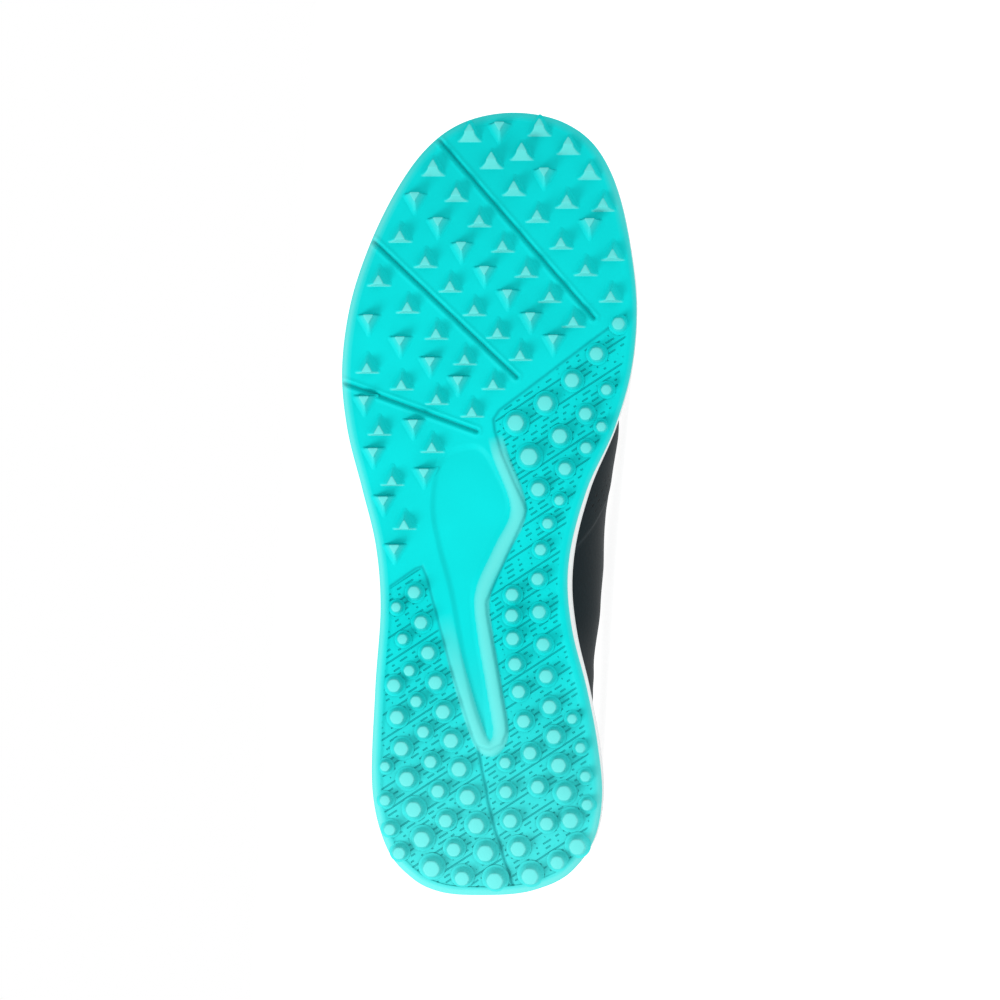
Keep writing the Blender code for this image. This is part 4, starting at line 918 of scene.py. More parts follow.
# %% Cross-sections of the upper, which the midsole's lip follows
UPPER_SECTIONS = (
    # along, spine, swell_in, swell_out, rise, top, edge, shoulder, drop
    (0.00, 0.010, 0.045, 0.050, 0.230, 0.880, 0.270, 0.370, 0.230),
    (0.05, 0.005, 0.045, 0.055, 0.230, 0.862, 0.270, 0.365, 0.230),
    (0.12, -0.004, 0.045, 0.060, 0.220, 0.780, 0.265, 0.365, 0.200),
    (0.20, -0.012, 0.050, 0.070, 0.210, 0.715, 0.265, 0.385, 0.170),
    (0.28, -0.020, 0.068, 0.080, 0.215, 0.765, 0.262, 0.410, 0.180),
    (0.36, -0.030, 0.188, 0.095, 0.230, 0.885, 0.245, 0.410, 0.220),
    (0.42, -0.036, 0.234, 0.105, 0.240, 0.995, 0.208, 0.398, 0.200),
    (0.50, -0.042, 0.224, 0.100, 0.240, 0.915, 0.130, 0.370, 0.130),
    (0.58, -0.050, 0.155, 0.080, 0.225, 0.815, 0.112, 0.360, 0.070),
    (0.66, -0.056, 0.070, 0.060, 0.205, 0.720, 0.085, 0.350, 0.025),
    (0.74, -0.060, 0.050, 0.050, 0.195, 0.650, 0.000, 0.345, 0.000),
    (0.82, -0.064, 0.045, 0.045, 0.195, 0.602, 0.000, 0.340, 0.000),
    (0.90, -0.072, 0.045, 0.045, 0.185, 0.556, 0.000, 0.320, 0.000),
    (0.96, -0.082, 0.045, 0.045, 0.165, 0.512, 0.000, 0.300, 0.000),
    (1.00, -0.090, 0.045, 0.045, 0.110, 0.458, 0.000, 0.300, 0.000),
)
SECTION_COLUMNS = ("spine", "swell_in", "swell_out", "rise", "top", "edge", "shoulder", "drop")
INSTEP_HEIGHT = 0.1080
HEEL_HEIGHT = 0.0930
THROAT_FRONT = 0.655
THROAT_TOP = 0.415
THROAT_FRONT_HALF = 0.0085
THROAT_TOP_HALF = 0.0205
THROAT_NOSE = 0.20
HEEL_LEAN = 0.0042
TOE_ROUNDING = 0.0045
HEEL_CURVE = ((0.0, 0.0), (0.30, 0.80), (0.62, 0.43), (1.0, -1.0))
TOE_CURVE = ((0.0, 0.0), (0.40, 0.13), (0.75, -0.27), (1.0, -1.0))


def section_value(column, share):
    place = SECTION_COLUMNS.index(column) + 1
    return smooth([row[0] for row in UPPER_SECTIONS], [row[place] for row in UPPER_SECTIONS], share)


def throat_half(share):
    """Half the throat's width, 0 where the vamp is closed."""
    back = np.maximum((THROAT_FRONT - share) / (THROAT_FRONT - THROAT_TOP), 0.0)
    wide = THROAT_FRONT_HALF + (THROAT_TOP_HALF - THROAT_FRONT_HALF) * np.minimum(back, 1.0)
    nose = np.minimum(back / THROAT_NOSE, 1.0)
    return wide * np.sqrt(1 - (1 - nose) ** 2)


def end_taper(share):
    return np.sqrt(np.maximum(0.0, 1 - np.abs(2 * share - 1) ** 11))


def edge_half(share):
    """Distance of the upper's top edge from the middle: throat in front, collar behind."""
    ease = ramp(share, 0.34, THROAT_TOP)
    return section_value("edge", share) * LAST_BALL_WIDTH * (1 - ease) + throat_half(share) * ease


def top_height(share):
    heel_part = smooth((0.0, 0.12, 0.24), (1.0, 0.6, 0.0), share)
    return section_value("top", share) * INSTEP_HEIGHT + heel_part * (HEEL_HEIGHT - 0.88 * INSTEP_HEIGHT)


def upper_point(side, share, rise):
    """Points of the upper's outer surface, from the feather line at 0 to the top edge at 1."""
    share, rise = np.broadcast_arrays(np.asarray(share, float), np.asarray(rise, float))
    x_foot, y = feather_outline.point(side, share)
    z_foot = midsole_top(y) + FIT_GAP
    z_top = top_height(share)
    taper = end_taper(share)
    width = LAST_BALL_WIDTH * taper
    swell = section_value("swell_in" if side == INNER else "swell_out", share) * width
    lift = section_value("rise", share) * INSTEP_HEIGHT
    spine = section_value("spine", share) * LAST_BALL_WIDTH
    arms = (
        (x_foot, z_foot),
        (x_foot + side * swell, z_foot + np.minimum(lift, 0.6 * (z_top - z_foot))),
        (spine + side * section_value("shoulder", share) * width, z_top - section_value("drop", share) * INSTEP_HEIGHT),
        (spine + side * edge_half(share) * taper, z_top),
    )
    weights = ((1 - rise) ** 3, 3 * rise * (1 - rise) ** 2, 3 * rise * rise * (1 - rise), rise**3)
    x = sum(w * a[0] for w, a in zip(weights, arms))
    z = sum(w * a[1] for w, a in zip(weights, arms))
    wall_share = (z - z_foot) / np.maximum(z_top - z_foot, MM)
    y = y - HEEL_LEAN * np.maximum(0.0, 1 - share / 0.24) ** 2 * smooth(*zip(*HEEL_CURVE), wall_share)
    y = y + TOE_ROUNDING * np.maximum(0.0, 1 - (1 - share) / 0.12) ** 2 * smooth(*zip(*TOE_CURVE), wall_share)
    return np.stack([x, y, z], -1)


def upper_normal(side, share, rise):
    """Outward normals of the upper's surface, found from points close by."""
    step = 0.004
    share, rise = np.broadcast_arrays(np.asarray(share, float), np.asarray(rise, float))
    low_s, high_s = np.maximum(share - step, 0.001), np.minimum(share + step, 0.999)
    low_r, high_r = np.maximum(rise - step, 0.0), np.minimum(rise + step, 1.0)
    along = upper_point(side, high_s, rise) - upper_point(side, low_s, rise)
    up = upper_point(side, share, high_r) - upper_point(side, share, low_r)
    normal = np.cross(along, up) * side
    return normal / np.maximum(np.linalg.norm(normal, axis=-1, keepdims=True), 1e-12)


def skin(side, share, rise, lift=0.0):
    """Points over the upper's surface. Both sides agree where they meet."""
    share, rise = np.broadcast_arrays(np.asarray(share, float), np.asarray(rise, float))
    normal = upper_normal(side, share, rise)
    shared = (share <= 0) | (share >= 1) | ((rise >= 1) & (share >= THROAT_FRONT))
    both = normal + upper_normal(-side, share, rise)
    both = both / np.maximum(np.linalg.norm(both, axis=-1, keepdims=True), 1e-12)
    normal = np.where(shared[..., None], both, normal)
    return upper_point(side, share, rise) + normal * np.asarray(lift)[..., None]


# %% The foam finish and the midsole
LIP_HEIGHT = 0.0045
LIP_THICKNESS = 0.0022
WAIST_BULGE_IN = 0.0012
WAIST_BULGE_OUT = 0.0008


def make_foam():
    finish = Finish("white_foam", (0.8, 0.82, 0.82), 0.6, Specular_IOR_Level=0.25)
    x, y, z = finish.place()
    cells = finish.node("ShaderNodeTexVoronoi", {"feature": "F1"}, {"Vector": finish.standing(), "Scale": 900.0})
    soft = finish.noise(22, 3)
    dust = finish.noise(9, 4, 0.65).ramp(0.55, 0.8) * 0.35
    base = finish.mix(soft, (0.60, 0.62, 0.62), (0.65, 0.67, 0.67))
    finish.feed("Base Color", finish.mix(dust, base, (0.54, 0.56, 0.55)))
    finish.feed("Roughness", 0.52 + soft * 0.16)
    finish.feed("Normal", finish.bump(cells * 0.05 + finish.noise(1.6, 2) * 0.05, 0.5))
    return finish.material


def make_midsole():
    stations = sole_outline.stations(300)
    line = MM * 0.35
    shape = Shape()
    rings = {}
    for side in (INNER, OUTER):
        waist = smooth((0.0, 0.22, 0.42, 0.58, 1.0), (0.0, 0.3, 1.0, 0.25, 0.0), stations)
        bulge = (WAIST_BULGE_IN if side == INNER else WAIST_BULGE_OUT) * waist
        keys = []
        for inset, height in ((0.0030, 0.0), (0.0008, 0.0), (0.0002, 0.03)):
            x, y = sole_outline.point(side, stations, inset)
            keys.append(stacked(x, y, midsole_bottom(y) + height * midsole_thickness(y)))
        x, y = sole_outline.point(side, stations, -0.8 * bulge)
        keys.append(stacked(x, y, midsole_bottom(y) + 0.22 * midsole_thickness(y)))
        x, y = sole_outline.point(side, stations, 0.0003 - bulge)
        keys.append(stacked(x, y, midsole_bottom(y) + 0.72 * midsole_thickness(y)))
        lip = LIP_HEIGHT / INSTEP_HEIGHT
        close = upper_point(side, stations, lip)
        outward = upper_normal(side, stations, lip)
        outward[0], outward[-1] = (0, -1, 0), (0, 1, 0)
        outward[:, 2] = 0
        outward /= np.linalg.norm(outward, axis=1, keepdims=True)
        lip_in = close + outward * (FIT_GAP + 0.0002)
        lip_out = lip_in + outward * LIP_THICKNESS - (0, 0, 0.0004)
        keys.append(lip_out * 0.97 + keys[-1] * 0.03 - (0, 0, 0.0003))
        keys.append(lip_out * 0.75 + lip_in * 0.25 + (0, 0, 0.0001))
        keys.append(lip_in)
        x, y = feather_outline.point(side, stations, -0.0004)
        keys.append(stacked(x, y, midsole_top(y)))
        places = np.array((0.0, 0.09, 0.14, 0.32, 0.68, 0.88, 0.92, 0.95, 1.0))
        fine = np.unique(np.concatenate([np.linspace(0, 1, 40), places]))
        keys = np.array(keys)
        curve = np.array([[smooth(places, keys[:, n, k], fine) for k in range(3)] for n in range(len(stations))])
        rings[side] = np.moveaxis(curve, 1, 2)
    rows = np.concatenate([rings[INNER], rings[OUTER][:, ::-1]], 1)
    shape.grid(rings[INNER], (0.0, 0.15, 0.02))
    shape.grid(rings[OUTER], (0.0, 0.15, 0.02))
    bed = np.stack([rings[INNER][:, -1] * (1 - t) + rings[OUTER][:, -1] * t for t in np.linspace(0, 1, 12)], 1)
    shape.grid(bed, (0, 0, 1))
    under = np.stack([rings[INNER][:, 0] * (1 - t) + rings[OUTER][:, 0] * t for t in np.linspace(0, 1, 12)], 1)
    shape.grid(under, (0, 0, -1))
    piece = shape.make("foam_midsole", make_foam(), sharp=50)
    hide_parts("midsole")
    return piece


make_midsole()

# %% [markdown]
# ## The upper
# The upper is a thin synthetic skin over a padded lining. Its sections are cubic curves from
# the feather line to the top edge, so any point has a share of the length and a rise. Creases,
# the padded collar and a seam across the quarter are small heights over that surface.

# %% The smooth synthetic finish
def make_synthetic(name, colour, roughness, grain_mm, grain_depth):
    finish = Finish(name, colour, roughness, Specular_IOR_Level=0.05)
    grain = finish.node(
        "ShaderNodeTexVoronoi",
        {"feature": "SMOOTH_F1"},
        {"Vector": finish.standing(), "Scale": 1 / (grain_mm * MM), "Smoothness": 0.7},
    )
    patches = finish.noise(30, 3)
    fine = finish.noise(0.5, 3, 0.6)
    worn = finish.mark("edge").at_most(1.0)
    darker = tuple(c * 0.72 for c in colour)
    paler = tuple(c * 1.9 + 0.004 for c in colour)
    base = finish.mix(patches, darker, tuple(c * 1.2 for c in colour))
    finish.feed("Base Color", finish.mix(worn * 0.55, base, paler))
    finish.feed("Roughness", roughness - 0.06 + patches * 0.10 + fine * 0.06)
    finish.feed("Normal", finish.bump(grain * grain_depth + fine * grain_depth * 0.4, 0.6))
    return finish


def drilled(finish):
    """Pinholes on the vamp's sides, in rows along the shoe, where the mark says so."""
    x, y, z = finish.place()
    rows = z * 0.30
    shift = (rows.floor() * 0.5).fraction()
    cells = y * 0.26 + shift
    away_y = (cells.fraction().distance(0.5)) * 3.85
    away_z = (rows.fraction().distance(0.5)) * 3.33
    away = (away_y * away_y + away_z * away_z).math("SQRT")
    return away.ramp(0.42, 0.62, 1.0, 0.0) * finish.mark("vent")


def make_skin_finish():
    finish = make_synthetic("dark_synthetic", (0.0050, 0.0120, 0.0150), 0.46, 1.5, 0.05)
    holes = drilled(finish)
    colour = Value(finish, finish.shader.inputs["Base Color"].links[0].from_socket)
    finish.feed("Base Color", finish.mix(holes, colour, (0.002, 0.003, 0.004)))
    below = Value(finish, finish.shader.inputs["Normal"].links[0].from_socket)
    finish.feed("Normal", finish.bump(holes * -0.5, 0.8, below))
    return finish.material


SKIN = make_skin_finish()
LAYER = make_synthetic("dark_overlay", (0.0042, 0.0100, 0.0128), 0.38, 1.1, 0.035).material


def make_cloth(name, colour, thread_mm, roughness=0.9):
    """Knitted lining or tape: small loops in rows."""
    finish = Finish(name, colour, roughness, Specular_IOR_Level=0.2)
    x, y, z = finish.place()
    a = ((x + y * 0.35 + z) / thread_mm).fraction().distance(0.5) * 2.0
    b = ((y + z * 0.4 - x * 0.2) / (thread_mm * 0.8)).fraction().distance(0.5) * 2.0
    loops = a.ramp(0.15, 0.95) * b.ramp(0.15, 0.95)
    fuzz = finish.noise(0.35, 3, 0.7)
    pale = tuple(c * 2.6 + 0.004 for c in colour)
    finish.feed("Base Color", finish.mix(loops * 0.6 + fuzz * 0.3, colour, pale))
    finish.feed("Roughness", 0.82 + fuzz * 0.12)
    finish.feed("Normal", finish.bump(loops * 0.22 + fuzz * 0.10, 0.7))
    return finish.material


LINING = make_cloth("dark_lining", (0.010, 0.015, 0.019), 1.1)

# %% Relief of the upper
SEAM = np.array(((128.0, 30.0), (140.0, 41.0), (153.0, 51.0), (166.0, 58.0), (178.0, 61.0)))
CREASES = (
    # share, bend towards the toe per unit of rise, depth, width, from rise, to rise
    (0.672, 0.030, 0.55, 0.0065, 0.35, 1.0),
    (0.700, 0.024, 0.42, 0.0055, 0.42, 1.0),
    (0.728, 0.016, 0.34, 0.0050, 0.50, 1.0),
    (0.560, -0.050, 0.30, 0.0080, 0.30, 0.75),
    (0.470, -0.080, 0.26, 0.0090, 0.35, 0.80),
    (0.260, 0.060, 0.30, 0.0080, 0.45, 0.85),
    (0.215, 0.050, 0.24, 0.0070, 0.45, 0.80),
)


def upper_relief(side, share, rise, points):
    """Heights over the upper in millimetres, with the marks for pinholes and worn edges."""
    height = np.zeros(np.shape(points)[:-1])
    for place, bend, depth, width, low, high in CREASES:
        centre = place + bend * (rise - 0.7) + 0.0022 * np.sin(9 * rise + 40 * place)
        reach = ramp(rise, low, low + 0.2) * (1 - 0.6 * ramp(rise, high - 0.15, high))
        height = height - depth * bell(share - centre, width) * reach
        height = height + 0.45 * depth * bell(share - centre - 1.9 * width, width) * reach
    collar = smooth((0.0, 0.28, 0.40, 1.0), (1.0, 1.0, 0.0, 0.0), share)
    height = height + 1.1 * collar * bell(rise - 0.86, 0.10) - 0.5 * collar * bell(rise - 0.68, 0.035)
    y, z = points[..., 1] / MM, points[..., 2] / MM
    away, walked = distance_to(SEAM, y, z)
    line = np.interp(y, SEAM[:, 0], SEAM[:, 1])
    ahead = ramp(np.where(y < SEAM[0, 0], -away, np.where(z < line, away, -away)), -0.5, 0.5)
    ahead = ahead * (1 - ramp(y, 168, 196))
    height = height + 0.55 * ahead
    vent = ramp(away, 2.4, 3.6) * (1 - ramp(away, 12.5, 14)) * (ahead > 0.5) * ramp(y, 144, 149) * (1 - ramp(y, 176, 182))
    edge = 0.5 * bell(away - 0.3, 0.5) * (1 - ramp(y, 168, 190)) * (y > SEAM[0, 0])
    return height, vent, edge


# %% Make the skin and its lining
UPPER_WALL = 0.0026
COLLAR_THICKNESS = 0.0072


def wall_thickness(share, rise):
    """Thickness of the wall: even, with padding round the collar."""
    collar = smooth((0.0, 0.28, 0.38, 1.0), (1.0, 1.0, 0.0, 0.0), share)
    padding = smooth((0.0, 0.55, 0.80, 1.0), (0.0, 0.0, 0.9, 0.5), rise)
    return UPPER_WALL + (COLLAR_THICKNESS - UPPER_WALL) * collar * padding


def with_throat(stations):
    """The stations, with one just where the throat's front is."""
    kept = stations[np.abs(stations - THROAT_FRONT) > 0.001]
    return np.sort(np.append(kept, THROAT_FRONT))


def make_upper():
    stations = with_throat(feather_outline.stations(340))
    rises = np.linspace(0, 1, 76)
    middle = (0.0, 0.15, 0.035)
    shell, lining = Shape(), Shape()
    for side in (INNER, OUTER):
        s, r = np.meshgrid(stations, rises, indexing="ij")
        height, vent, edge = upper_relief(side, s, r, upper_point(side, s, r))
        calm = ramp(s, 0.0, 0.02) * (1 - ramp(s, 0.98, 1.0))
        outer = skin(side, s, r, height * calm * MM)
        shell.grid(outer, middle, vent=vent, edge=edge)
        thick = wall_thickness(s, r)
        inner = skin(side, s, r, -thick)
        lining.grid(inner[:, :-1], outer[:, -1].mean(0) * 0 + (0, 0, 9.0))
        open_part = stations <= THROAT_FRONT
        top_out, top_in = outer[open_part, -1], inner[open_part, -2]
        up = outer[open_part, -1] - outer[open_part, -4]
        up /= np.linalg.norm(up, axis=1, keepdims=True)
        roll = []
        for t in np.linspace(0, math.pi, 9):
            share = (1 - math.cos(t)) / 2
            roll.append(top_out * (1 - share) + top_in * share + up * (math.sin(t) * 0.45 * np.linalg.norm(top_out - top_in, axis=1, keepdims=True)))
        roll = np.stack(roll, 1)
        shell.grid(roll[:, :5], roll.reshape(-1, 3).mean(0) - (0, 0, 0.02), edge=0.35)
        lining.grid(roll[:, 4:], roll.reshape(-1, 3).mean(0) - (0, 0, 0.02))
        shell.grid(np.stack([outer[:, 0], inner[:, 0]], 1), (0, 0, -1))
    skin_piece = shell.make("upper_skin", SKIN)
    lining_piece = lining.make("upper_lining", LINING)
    for piece, slot in ((skin_piece, "dark_synthetic"), (lining_piece, "dark_lining")):
        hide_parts("upper")


make_upper()

# %% [markdown]
# ## Layers on the upper
# The toe bumper, heel counter and lace stay are thin sheets glued to the skin. Each follows a
# line drawn in the side view, so it is a ruled grid: every row runs from the line to the
# opposite edge, and the sheet sinks into the skin over the last half millimetre.

# %% Make the three layers
TOE_CAP_EDGE = ((0.700, 0.150), (0.865, 0.460), (0.895, 1.200))
HEEL_COUNTER_EDGE = ((0.255, 0.020), (0.155, 0.480), (0.030, 0.610))
EYESTAY_EDGE = ((0.402, 0.830), (0.545, 0.730), (0.670, 0.850))
EYESTAY_FRONT = ((0.688, 0.890), (0.701, 0.960), (0.706, 1.200))
LAYER_LIFT = 1.1
OVERLAY_MARGIN = 0.0010


def arc_through(start, middle, end, count=40):
    """Even points of the parabola through three points."""
    t = np.linspace(0, 1, count)[:, None]
    start, middle, end = (np.array(p) for p in (start, middle, end))
    return 2 * (t - 0.5) * (t - 1) * start + 4 * t * (1 - t) * middle + 2 * t * (t - 0.5) * end


def rise_at(side, share, height):
    """The rise where the skin is at a height, counted from the lip at 0 to the top at 1."""
    rises = np.linspace(0, 1, 200)
    made = []
    for s, h in zip(share, height):
        z = np.maximum.accumulate(upper_point(side, s, rises)[:, 2])
        _, y = feather_outline.point(side, s)
        low = midsole_top(y) + LIP_HEIGHT + OVERLAY_MARGIN
        made.append(np.interp(low + min(h, 1.0) * (top_height(s) - low), z, rises) if h < 1 else 1.0)
    return np.array(made)


def spread(low, high, count):
    """Rows from low to high, close together at both ends."""
    t = (1 - np.cos(np.linspace(0, math.pi, count))) / 2
    return low[:, None] * (1 - t) + high[:, None] * t


def from_border(points, axis, end):
    """Distance of each point from one border, along the rows."""
    steps = np.linalg.norm(np.diff(points, axis=axis), axis=-1)
    total = np.cumsum(steps, axis=axis) / MM
    total = np.concatenate([np.zeros_like(np.take(total, [0], axis)), total], axis)
    return total if end == 0 else np.take(total, [-1], axis) - total


def layer(name, replaced, shares, low, high, borders):
    """A sheet between two heights. borders names its free edges: low, high, back, front."""
    shape = Shape()
    for side in (INNER, OUTER):
        rise = spread(rise_at(side, shares, low), rise_at(side, shares, high), 44)
        s = np.repeat(shares[:, None], rise.shape[1], 1)
        points = upper_point(side, s, rise)
        away = np.full(s.shape, 9.0)
        if "low" in borders:
            away = np.minimum(away, from_border(points, 1, 0))
        if "high" in borders:
            free = from_border(points, 1, 1) + 9.0 * ((rise[:, -1:] >= 1) & (s >= THROAT_FRONT))
            away = np.minimum(away, free)
        if "back" in borders:
            away = np.minimum(away, from_border(points, 0, 0))
        if "front" in borders:
            away = np.minimum(away, from_border(points, 0, 1))
        full = np.sqrt(1 - (1 - np.clip(away / 0.7, 0, 1)) ** 2)
        relief, _, _ = upper_relief(side, s, rise, points)
        relief = relief * ramp(s, 0.0, 0.02) * (1 - ramp(s, 0.98, 1.0))
        lift = relief * 0.8 - 0.4 + (LAYER_LIFT + 0.4) * full
        shape.grid(skin(side, s, rise, lift * MM), (0.0, 0.15, 0.035), edge=0.5 * bell(away - 0.6, 0.4))
    piece = shape.make(name, LAYER)
    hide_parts(replaced)


arc = arc_through(*TOE_CAP_EDGE)
ahead = np.linspace(arc[-1, 0], 1, 60)[1:]
cap_line = np.vstack([arc, np.column_stack([ahead, np.full(59, 1.2)])])
layer("toe_bumper", "toe_cap", cap_line[:, 0], 0 * cap_line[:, 0], cap_line[:, 1], ("low", "high", "back"))

arc = arc_through(*HEEL_COUNTER_EDGE)[::-1]
behind = np.linspace(0, arc[0, 0], 12)[:-1]
counter_line = np.vstack([np.column_stack([behind, np.full(11, arc[0, 1])]), arc])
layer("heel_cup", "heel_counter", counter_line[:, 0], 0 * counter_line[:, 0], counter_line[:, 1], ("low", "high"))

arc = np.vstack([arc_through(*EYESTAY_EDGE, 80), open_curve(EYESTAY_EDGE[-1:] + EYESTAY_FRONT, 8)[1:]])
stay_line = arc[arc[:, 1] < 1.0]
layer("lace_stay", "eyestay", stay_line[:, 0], stay_line[:, 1], 1.2 + 0 * stay_line[:, 0], ("low", "high", "back"))

# %% [markdown]
# ## Stitching, eyelets and laces
# Stitches are short capsules along the layers' edges, and eyelets are small painted rings.
# The laces are flat tape. They cross over the tongue and dip into the eyelets at both ends.

# %% The roof that tongue and laces follow
TONGUE_CROWN = 0.0030


def roof(share, across):
    """Height of the upper's roof, bridging the throat with a low crown."""
    spine = section_value("spine", share) * LAST_BALL_WIDTH
    half = float(edge_half(share) * end_taper(share))
    if abs(across) < half:
        crown = TONGUE_CROWN * (1 - (across / half) ** 2) * min(half / THROAT_TOP_HALF, 1.0)
        return float(top_height(share) + crown)
    points = upper_point(INNER if across < 0 else OUTER, share, np.linspace(1, 0.5, 25))
    return float(np.interp(abs(across), np.abs(points[:, 0] - spine), points[:, 2]))


def over_roof(share, across, lift):
    """A point at a height over the roof, and the roof's normal there."""
    step = 0.002
    slope_x = (roof(share, across + step) - roof(share, across - step)) / (2 * step)
    step_share = step / UPPER_LENGTH
    slope_y = (roof(share + step_share, across) - roof(share - step_share, across)) / (2 * step)
    normal = np.array((-slope_x, -slope_y, 1.0))
    normal /= np.linalg.norm(normal)
    spine = section_value("spine", share) * LAST_BALL_WIDTH
    return np.array((spine + across, HEEL_MARGIN + share * UPPER_LENGTH, roof(share, across))) + normal * lift, normal


# %% Stitches along the layers' edges
def capsule(shape, start, end, normal, radius=0.28):
    """A short thread between two points, half sunk."""
    heading = (end - start) / np.linalg.norm(end - start)
    wide = np.cross(heading, normal)
    rings = []
    for t, size in ((0.0, 0.02), (0.06, 0.6), (0.2, 1.0), (0.5, 1.1), (0.8, 1.0), (0.94, 0.6), (1.0, 0.02)):
        centre = start * (1 - t) + end * t + normal * (math.sin(math.pi * t) * 0.10 * MM)
        turn = np.linspace(0, math.tau, 8, endpoint=False)[:, None]
        rings.append(centre + (np.cos(turn) * wide + np.sin(turn) * normal) * (radius * size * MM))
    shape.grid(rings, (start + end) / 2, around=True)


def stitch_line(shape, side, shares, rises, lift):
    points = skin(side, shares, rises, np.broadcast_to(lift, shares.shape) * MM)
    normals = upper_normal(side, shares, rises)
    walked = lengths_along(points)
    for start in np.arange(1.5, walked[-1] / MM - 4, 3.3):
        ends = [np.array([np.interp(w * MM, walked, points[:, k]) for k in range(3)]) for w in (start, start + 2.4)]
        normal = np.array([np.interp(start * MM, walked, normals[:, k]) for k in range(3)])
        capsule(shape, ends[0], ends[1], normal / np.linalg.norm(normal))


stitches = Shape()
for side in (INNER, OUTER):
    for line, drop in ((stay_line[2:-6], 0.035), (stay_line[2:-8], 0.060), (cap_line[2:39], -0.035), (counter_line[2:48], -0.035)):
        rise = rise_at(side, line[:, 0], line[:, 1]) + drop
        keep = (rise > 0.06) & (rise < 0.97)
        stitch_line(stitches, side, line[keep, 0], rise[keep], LAYER_LIFT + 0.05)
    share, rise = np.linspace(0.02, 0.385, 60), np.full(60, 0.70)
    height, _, _ = upper_relief(side, share, rise, upper_point(side, share, rise))
    stitch_line(stitches, side, share, rise, height - 0.05)
thread = make_cloth("dark_overlay_thread", (0.016, 0.030, 0.036), 0.5)
stitching = stitches.make("stitching", thread)
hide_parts("upper")

# %% Eyelets
LACE_ROWS = 6
EYELET_SETBACK = 0.0075


def eyelet_place(side, row):
    """Where an eyelet sits: share of the length, distance from the middle, and rise."""
    first, last = THROAT_FRONT - 0.022, THROAT_TOP + 0.020
    share = first + (last - first) * row / (LACE_ROWS - 1)
    edge = upper_point(side, share, 1.0)
    rise = 1.0
    while np.linalg.norm(upper_point(side, share, rise) - edge) < EYELET_SETBACK:
        rise -= 0.005
    spine = section_value("spine", share) * LAST_BALL_WIDTH
    return float(share), float(upper_point(side, share, rise)[0] - spine), rise


rings = Shape()
for side in (INNER, OUTER):
    for row in range(LACE_ROWS):
        share, _, rise = eyelet_place(side, row)
        centre = skin(side, share, rise, LAYER_LIFT * MM)
        normal = upper_normal(side, share, rise)
        wide = np.cross(normal, (0, 1, 0))
        wide /= np.linalg.norm(wide)
        deep = np.cross(normal, wide)
        turn = np.linspace(0, math.tau, 32, endpoint=False)[:, None]
        out = np.cos(turn) * wide + np.sin(turn) * deep
        profile = ((1.9, -0.8), (1.9, 0.1), (2.1, 0.42), (2.5, 0.52), (2.95, 0.40), (3.2, 0.1), (3.25, -0.5))
        rings.grid([centre + (out * r + normal * h) * MM for r, h in profile], centre - normal * 0.004, around=True)
paint = Finish("dark_overlay_eyelet", (0.012, 0.02, 0.024), 0.32, Metallic=0.6)
wear = paint.noise(1.5, 3)
paint.feed("Roughness", 0.24 + wear * 0.22)
eyelets = rings.make("eyelets", paint.material, sharp=40)
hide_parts("eyestay")

# %% Laces
LACE_WIDTH = 0.0068
TAPE = make_cloth("dark_lace", (0.014, 0.021, 0.026), 0.9)


def tape(shape, start, end, crossing):
    """A flat band from eyelet to eyelet over the tongue."""
    count = 40
    t = np.linspace(0, 1, count)
    dip = 1.7 * (1 - ramp(t, 0.0, 0.10)) + 1.7 * ramp(t, 0.90, 1.0)
    lift = 2.65 - dip + crossing * np.sin(np.pi * t) ** 2 + 0.12 * np.sin(17 * t + 9 * start[0])
    made = [over_roof(start[0] + (end[0] - start[0]) * k, start[1] + (end[1] - start[1]) * k, h * MM) for k, h in zip(t, lift)]
    centres, normals = (np.array(p) for p in zip(*made))
    heading = np.gradient(centres, axis=0)
    wide = np.cross(heading, normals)
    wide /= np.linalg.norm(wide, axis=1, keepdims=True)
    thick = np.cross(wide, heading)
    thick /= np.linalg.norm(thick, axis=1, keepdims=True)
    narrow = 0.5 + 0.5 * ramp(np.minimum(t, 1 - t), 0.02, 0.12)
    turn = np.linspace(0, math.tau, 20, endpoint=False)
    across = np.sign(np.cos(turn)) * np.abs(np.cos(turn)) ** 0.45 * LACE_WIDTH / 2
    high = np.sign(np.sin(turn)) * np.abs(np.sin(turn)) ** 0.75 * 0.62 * MM
    rows = centres[:, None] + wide[:, None] * (across * narrow[:, None])[..., None] - thick[:, None] * high[None, :, None]
    shape.grid(rows, centres.mean(0) - normals.mean(0) * 0.0002, around=True)
    for end_row in (rows[0], rows[-1]):
        middle = end_row.mean(0)
        cap = np.stack([end_row, np.repeat(middle[None], len(end_row), 0)])
        shape.grid(cap, centres.mean(0), around=True)


tapes = Shape()
tape(tapes, eyelet_place(INNER, 0), eyelet_place(OUTER, 0), 0.0)
for row in range(LACE_ROWS - 1):
    for side in (INNER, OUTER):
        tape(tapes, eyelet_place(side, row), eyelet_place(-side, row + 1), 1.35 if side == OUTER else 0.0)
laces = tapes.make("lace_tape", TAPE, sharp=50)
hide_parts("laces")

# %% [markdown]
# ## Tongue and insole
# Both are padded, and in both the padding is a gentle swelling of a grid with rounded edges.
# A cloth simulation would only repeat that swelling inside a closed shoe.

# %% The padded tongue
TONGUE_THICKNESS = 0.0048
TONGUE_HALF_WIDTH = 0.0245
TONGUE_REACH = 0.0300


